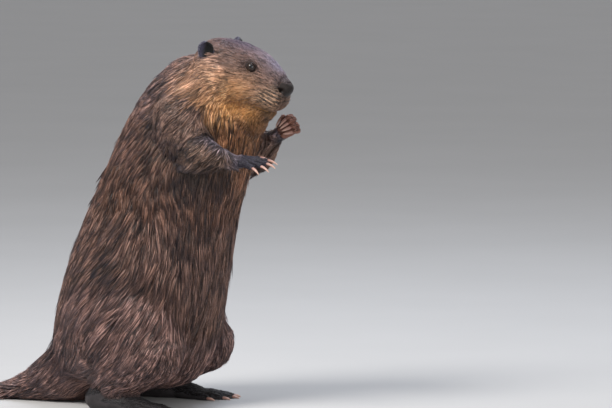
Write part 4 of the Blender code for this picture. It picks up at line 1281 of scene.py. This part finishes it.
class Nodes:
    """A short way to lay out a material's nodes."""

    def __init__(self, name):
        self.material = bpy.data.materials.new(name)
        self.material.use_nodes = True
        self.tree = self.material.node_tree
        self.shader = self.tree.nodes["Principled BSDF"]

    def fill(self, node, values):
        """Sets or links each named input of a node."""
        for key, value in values.items():
            if isinstance(value, bpy.types.NodeSocket):
                self.tree.links.new(value, node.inputs[key])
            else:
                node.inputs[key].default_value = value

    def node(self, kind, values, output, **settings):
        """One output of a new node."""
        made = self.tree.nodes.new(kind)
        for key, value in settings.items():
            setattr(made, key, value)
        self.fill(made, values)
        return made.outputs[output]

    def where(self):
        return self.node("ShaderNodeTexCoord", {}, "Object")

    def noise(self, scale, detail=3.0):
        values = {"Vector": self.where(), "Scale": scale, "Detail": detail, "Roughness": 0.55}
        return self.node("ShaderNodeTexNoise", values, "Fac")

    def cells(self, scale):
        values = {"Vector": self.where(), "Scale": scale}
        return self.node("ShaderNodeTexVoronoi", values, "Distance", feature="F1")

    def span(self, value, low, high):
        """A value from 0 to 1 spread between two others."""
        return self.node("ShaderNodeMapRange", {"Value": value, "To Min": low, "To Max": high}, "Result")

    def mottle(self, scale, low, high, detail=3.0):
        """Noise between two values."""
        return self.span(self.noise(scale, detail), low, high)

    def attribute(self, name, output="Color"):
        return self.node("ShaderNodeAttribute", {}, output, attribute_name=name)

    def mixed(self, share, first, second):
        values = {"Factor": share, "A": (*first, 1), "B": (*second, 1)}
        return self.node("ShaderNodeMix", values, "Result", data_type="RGBA")

    def grey(self, tone):
        return self.node("ShaderNodeCombineColor", {"Red": tone, "Green": tone, "Blue": tone}, "Color")

    def scaled(self, colour, value):
        return self.node("ShaderNodeVectorMath", {0: colour, "Scale": value}, "Vector", operation="SCALE")

    def bump(self, height, strength, distance, **onto):
        values = {"Height": height, "Strength": strength, "Distance": distance, **onto}
        return self.node("ShaderNodeBump", values, "Normal")

    def give(self, **sockets):
        """Sets the shader's own inputs, and returns the material."""
        self.fill(self.shader, {name.replace("_", " "): value for name, value in sockets.items()})
        return self.material


def coat_material():
    """Wet hair: the tuft's own colour, mottled finely, with a soft wet gloss."""
    made = Nodes("wet_coat")
    colour = made.scaled(made.attribute("coat"), made.mottle(420.0, 0.78, 1.22))
    colour = made.scaled(colour, made.mottle(38.0, 0.86, 1.14))
    made.give(Sheen_Weight=0.07, Sheen_Roughness=0.40, Sheen_Tint=(0.55, 0.68, 1.0, 1.0))
    return made.give(Base_Color=colour, Roughness=made.mottle(60.0, 0.36, 0.62), Specular_IOR_Level=0.5)


def skin_material():
    """The skin: painted shade between the hairs, and pebbled and creased leather where it is bare."""
    made = Nodes("beaver_skin")
    colour = made.scaled(made.attribute("coat"), made.mottle(150.0, 0.65, 1.35, 5.0))
    normal = made.bump(made.cells(900.0), 0.5, 0.0004)
    normal = made.bump(made.cells(260.0), 0.4, 0.0006, Normal=normal)
    roughness = made.mottle(90.0, 0.34, 0.62)
    return made.give(Base_Color=colour, Roughness=roughness, Normal=normal, Specular_IOR_Level=0.22)


def eye_material():
    """A dark, wet eye: a black pupil in a nearly black brown iris."""
    made = Nodes("wet_eye")
    colour = made.mixed(made.attribute("iris", "Fac"), (0.003, 0.003, 0.004), (0.020, 0.010, 0.006))
    colour = made.scaled(colour, made.mottle(900.0, 0.6, 1.4))
    return made.give(Base_Color=colour, Roughness=0.05, Specular_IOR_Level=0.45)


def claw_material():
    """Pinkish horn, paler towards the tip, with fine streaks."""
    made = Nodes("claw_horn")
    colour = made.mixed(made.attribute("along", "Fac"), (0.26, 0.130, 0.105), (0.54, 0.345, 0.275))
    colour = made.scaled(colour, made.mottle(700.0, 0.7, 1.3, 4.0))
    normal = made.bump(made.noise(1400.0), 0.25, 0.0002)
    return made.give(Base_Color=colour, Roughness=made.mottle(300.0, 0.28, 0.5), Normal=normal)


def scale_material():
    """Black leathery scales, each a little lighter or darker than the next."""
    made = Nodes("tail_scale")
    base = made.tree.nodes.new("ShaderNodeRGB").outputs[0]
    base.default_value = (*TAIL_BLACK, 1)
    colour = made.scaled(base, made.mottle(240.0, 0.75, 1.3, 4.0))
    colour = made.scaled(colour, made.span(made.attribute("tint", "Fac"), 0.6, 1.5))
    normal = made.bump(made.noise(900.0), 0.3, 0.0003)
    return made.give(Base_Color=colour, Roughness=made.mottle(120.0, 0.36, 0.60), Normal=normal)


def whisker_material():
    made = Nodes("whisker")
    return made.give(Base_Color=made.grey(made.mottle(260.0, 0.020, 0.060)), Roughness=0.4)


def floor_material():
    made = Nodes("pale_floor")
    return made.give(Base_Color=made.grey(made.mottle(3.0, 0.38, 0.41, 2.0)), Roughness=0.9)


# ---- eyes, claws, scales ----

CORNEA, CORNEA_EDGE = 0.05, (0.72, 0.95)  # its bulge, and where it rises, on a ball of radius 1
PUPIL_EDGE, IRIS_EDGE = (-0.93, -0.88), (0.60, 0.66)  # the first counted inwards, the second outwards


def make_eyes(head, material):
    """Each eyeball, with a cornea that bulges a little out of it."""
    for side, word in SIDE_WORDS.items():
        centre, axes = eye_axes(head, side)
        work = bmesh.new()
        bmesh.ops.create_uvsphere(work, u_segments=48, v_segments=32, radius=1.0)
        mesh = written(work, bpy.data.meshes.new(f"eyeball_{word}"))
        points = points_of(mesh)
        outward = np.clip(points[:, 2], -1, 1)
        bulge = 1 + CORNEA * smoothstep(outward, *CORNEA_EDGE)
        set_points(mesh, (points * (bulge * EYE_RADIUS)[:, None]) @ axes + centre)
        if np.linalg.det(axes) < 0:
            mesh.flip_normals()
        mesh.shade_smooth()
        add_values(mesh, "iris", smoothstep(-outward, *PUPIL_EDGE) * smoothstep(outward, *IRIS_EDGE))
        eye = new_object(f"eyeball_{word}", mesh, material)
        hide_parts(f"eye_{word}")
        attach(eye, "root")


CLAW_SIDES, CLAW_STATIONS = 18, 14
CLAW_WIDTH, CLAW_HEIGHT, CLAW_UNDER = 1.25, 1.05, 0.75  # of the solid's, and below of above
CLAW_TAPER, CLAW_TIP_TAPER = 0.35, 0.55
CLAW_BOW, FIST_BOW = 0.075, 0.045  # of its length
CLAW_ROOTED = 0.0025


def claw_points(base, tip, radius, bulge, bow):
    """A curved, tapering claw: rings from inside the finger to a blunt point."""
    axis = unit(tip - base)
    start = base - axis * CLAW_ROOTED
    bulge = unit(bulge - axis * dot(bulge, axis))
    control = (start + tip) / 2 + bulge * bow * np.linalg.norm(tip - start) * 2
    points = []
    for step in range(CLAW_STATIONS):
        share = step / CLAW_STATIONS
        middle = (1 - share) ** 2 * start + 2 * share * (1 - share) * control + share ** 2 * tip
        along = unit(2 * (1 - share) * (control - start) + 2 * share * (tip - control))
        up = unit(bulge - along * dot(bulge, along))
        aside = np.cross(along, up)
        size = radius * (1 - CLAW_TAPER * share - CLAW_TIP_TAPER * share ** 3)
        for angle in (2 * math.pi * corner / CLAW_SIDES for corner in range(CLAW_SIDES)):
            lift = math.sin(angle) * (CLAW_HEIGHT if math.sin(angle) > 0 else CLAW_HEIGHT * CLAW_UNDER)
            points.append(middle + size * (aside * math.cos(angle) * CLAW_WIDTH + up * lift))
    return np.array(points + [start, tip])


def tube_triangles(sides, stations):
    """The triangles of a closed tube whose last two points are its two ends."""
    first, last = sides * stations, sides * stations + 1
    faces = []
    for corner in range(sides):
        following = (corner + 1) % sides
        faces.append((first, following, corner))
        end = sides * (stations - 1)
        faces.append((last, end + corner, end + following))
        for ring in range(0, end, sides):
            a, b = ring + corner, ring + following
            faces += [(a, b, a + sides), (b, b + sides, a + sides)]
    return np.array(faces)


def make_claws(nodes, material):
    """A curved horn claw in the place of each claw's solid."""
    triangles = tube_triangles(CLAW_SIDES, CLAW_STATIONS)
    along = np.append(np.repeat(np.arange(CLAW_STATIONS) / CLAW_STATIONS, CLAW_SIDES), (0.0, 1.0))
    for (side, word), (limb, part, *_) in itertools.product(SIDE_WORDS.items(), PAWS):
        for number, (base, tip, radius) in enumerate(claws_of(nodes, limb, word), 1):
            bulge, bow = UP, CLAW_BOW
            if limb == "fore" and side == LEFT:
                bulge, bow = (base + tip) / 2 - np.array(box_middle(f"{part}_{word}")), FIST_BOW
            points = claw_points(base, tip, radius, bulge, bow)
            points[:, 2] = np.maximum(points[:, 2], FLOOR_GAP)
            mesh = triangle_mesh(f"horn_{limb}_{word}_{number}", points, triangles)
            add_values(mesh, "along", along)
            claw = new_object(mesh.name, mesh, material)
            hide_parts(f"claw_{limb}_{word}_{number}")
            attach(claw, "root")


SCALE_LENGTH, SCALE_WIDTH, SCALE_SINK = 0.0056, 0.0044, 0.0006
SCALE_ROW, SCALE_SPAN = 0.76, 0.56  # between rows, of the length, and half across, of the width
SCALE_RINGS = ((0.0, 0.00040), (0.68, 0.00028), (0.95, -0.0004))  # share of the outline, and height
SCALE_POINTS = 14
SCALE_TILT, SCALE_SCATTER, SCALE_FLOOR = 0.00022, 0.0002, 0.0001
SCALE_STEEPEST = 0.3  # the least upward part of the skin's normal under a scale


def scale_triangles():
    """The triangles of one closed six-sided plate: a crown, a slope and an underside."""
    faces = []
    for corner, following in ((corner, (corner + 1) % 6) for corner in range(6)):
        faces += [(0, 1 + corner, 1 + following), (1 + corner, 7 + corner, 1 + following)]
        faces += [(1 + following, 7 + corner, 7 + following), (13, 7 + following, 7 + corner)]
    return np.array(faces)


def scale_points(place, normal, size):
    """One domed scale with its long way towards the tail's tip: its middle, two rings and underside."""
    angles = np.arange(6) * math.pi / 3
    outline = np.stack([np.cos(angles), np.sin(angles)], 1)
    back = np.array((-1.0, 0.0, 0.0))
    back = unit(back - normal * dot(back, normal))
    across = np.cross(normal, back)
    points = []
    for share, height in SCALE_RINGS:
        flat = (outline if share else outline[:1] * 0) * share * size
        offset = back * (flat[:, :1] * SCALE_LENGTH * 0.5)
        offset = offset + across * (flat[:, 1:] * SCALE_WIDTH * SCALE_SPAN)
        points.append(place + offset + normal * (height + SCALE_TILT * flat[:, :1] * (height > 0)))
    return np.concatenate([*points, (place - normal * SCALE_SINK)[None]])


def make_scales(surface, label, material):
    """Rows of domed, six-sided scales over both faces of the tail."""
    rng = np.random.default_rng(SEED + 2)
    low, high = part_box("tail_blade")
    on_blade = is_part(label[surface.triangles[:, 0]], "tail_blade")
    plates, tints = [], []
    rows = int((high[0] - low[0]) / (SCALE_LENGTH * SCALE_ROW))
    columns = int((high[1] - low[1]) / SCALE_WIDTH) + 2
    for row, place, face in itertools.product(range(rows), range(columns), (1, -1)):
        x = high[0] - row * SCALE_LENGTH * SCALE_ROW + rng.normal(0, SCALE_SCATTER)
        y = low[1] + (place + 0.5 * (row % 2)) * SCALE_WIDTH + rng.normal(0, SCALE_SCATTER)
        hit, normal, triangle, _ = surface.tree.ray_cast(Vector((x, y, face * 0.2)), Vector((0, 0, -face)))
        if hit is None or not on_blade[triangle] or abs(normal[2]) < SCALE_STEEPEST:
            continue
        hit, normal = np.array(hit), np.array(normal)
        if face < 0:
            hit[2] = max(hit[2], FLOOR_GAP)
        plates.append(scale_points(hit, normal, rng.uniform(0.92, 1.02)))
        tints.append(rng.uniform(0.2, 0.8))
    plates = np.array(plates)
    plates[:, :, 2] = np.maximum(plates[:, :, 2], SCALE_FLOOR)
    triangles = repeated(scale_triangles(), SCALE_POINTS, len(plates))
    mesh = triangle_mesh("tail_scales", plates.reshape(-1, 3), triangles)
    add_values(mesh, "tint", np.repeat(tints, SCALE_POINTS))
    piece = new_object("tail_scales", mesh, material)
    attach(piece, "root")
    print(f"tail_scales: {len(plates)} scales")


# ---- stage ----

CAMERA_AZIMUTH, CAMERA_ELEVATION = 23.0, 5.0  # degrees
CAMERA_DISTANCE = 8.0
CAMERA_TARGET = Vector((0.3309, 0.0752, 0.2890))
CAMERA_LENS, CAMERA_SENSOR = 329.5, 36.0


def aimed(name, data, target, azimuth, elevation, distance):
    """An object that looks at a target from a direction in degrees and a distance."""
    azimuth, elevation = math.radians(azimuth), math.radians(elevation)
    flat = math.cos(elevation)
    back = Vector((math.sin(azimuth) * flat, -math.cos(azimuth) * flat, math.sin(elevation)))
    item = new_object(name, data)
    item.location = target + back * distance
    item.rotation_mode = "QUATERNION"
    item.rotation_quaternion = (-back).to_track_quat("-Z", "Y")
    return item


def make_camera():
    data = bpy.data.cameras.new("camera")
    data.lens, data.sensor_width = CAMERA_LENS, CAMERA_SENSOR
    data.clip_end = 50.0
    bpy.context.scene.camera = aimed(
        "camera", data, CAMERA_TARGET, CAMERA_AZIMUTH, CAMERA_ELEVATION, CAMERA_DISTANCE
    )


LIGHTS_TARGET = Vector((0.1, 0.0, 0.3))
LIGHTS = (
    # azimuth and elevation in degrees, distance, size, power, colour
    ("key", -20.0, 48.0, 2.6, 1.2, 95.0, (1.0, 0.965, 0.92)),
    ("fill", 62.0, 6.0, 3.0, 2.0, 36.0, (1.0, 0.98, 0.95)),
    ("sky", 170.0, 62.0, 2.8, 1.6, 52.0, (0.80, 0.87, 1.0)),
)


def make_lights():
    for name, azimuth, elevation, distance, size, power, colour in LIGHTS:
        data = bpy.data.lights.new(name, "AREA")
        data.shape, data.size, data.energy, data.color = "DISK", size, power, colour
        aimed(name, data, LIGHTS_TARGET, azimuth, elevation, distance)
    world = bpy.data.worlds.new("studio")
    world.use_nodes = True
    background = world.node_tree.nodes["Background"]
    background.inputs["Color"].default_value = (0.80, 0.80, 0.82, 1)
    background.inputs["Strength"].default_value = 0.75
    bpy.context.scene.world = world
    bpy.context.scene.view_settings.view_transform = "Standard"


def make_floor():
    work = bmesh.new()
    bmesh.ops.create_grid(work, x_segments=8, y_segments=8, size=20.0)
    new_object("floor", written(work, bpy.data.meshes.new("floor")), floor_material())


def main():
    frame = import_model()
    nodes = frame["nodes"]
    head = HeadFrame()
    parts = flesh_nodes(nodes)
    labels = Labels(nodes, parts)

    mesh = skin_mesh(nodes, parts, labels, head)
    mesh.name = "skin"
    skin = new_object("skin", mesh)
    surface = Surface(mesh)
    print(f"skin: {len(surface.triangles)} triangles")
    pelt = Pelt(surface, labels.of(surface.points), head)
    # Painted shade: the skin is darker where the coat over it is dense.
    covered = np.clip(pelt.traits["number"] / FULLY_COVERED, 0, 1)
    add_colours(mesh, pelt.coat_colours * (1 - SKIN_SHADE_UNDER_COAT * covered)[:, None])
    mesh.materials.clear()
    mesh.materials.append(skin_material())
    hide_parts(*[name for name in parts if not name.startswith("eye_")])
    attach(skin, "root")

    make_coat(pelt, Unwrap(skin), coat_material())
    make_whiskers(surface, head, whisker_material())
    make_scales(surface, pelt.label, scale_material())
    make_eyes(head, eye_material())
    make_claws(nodes, claw_material())
    make_camera()
    make_lights()
    make_floor()


main()
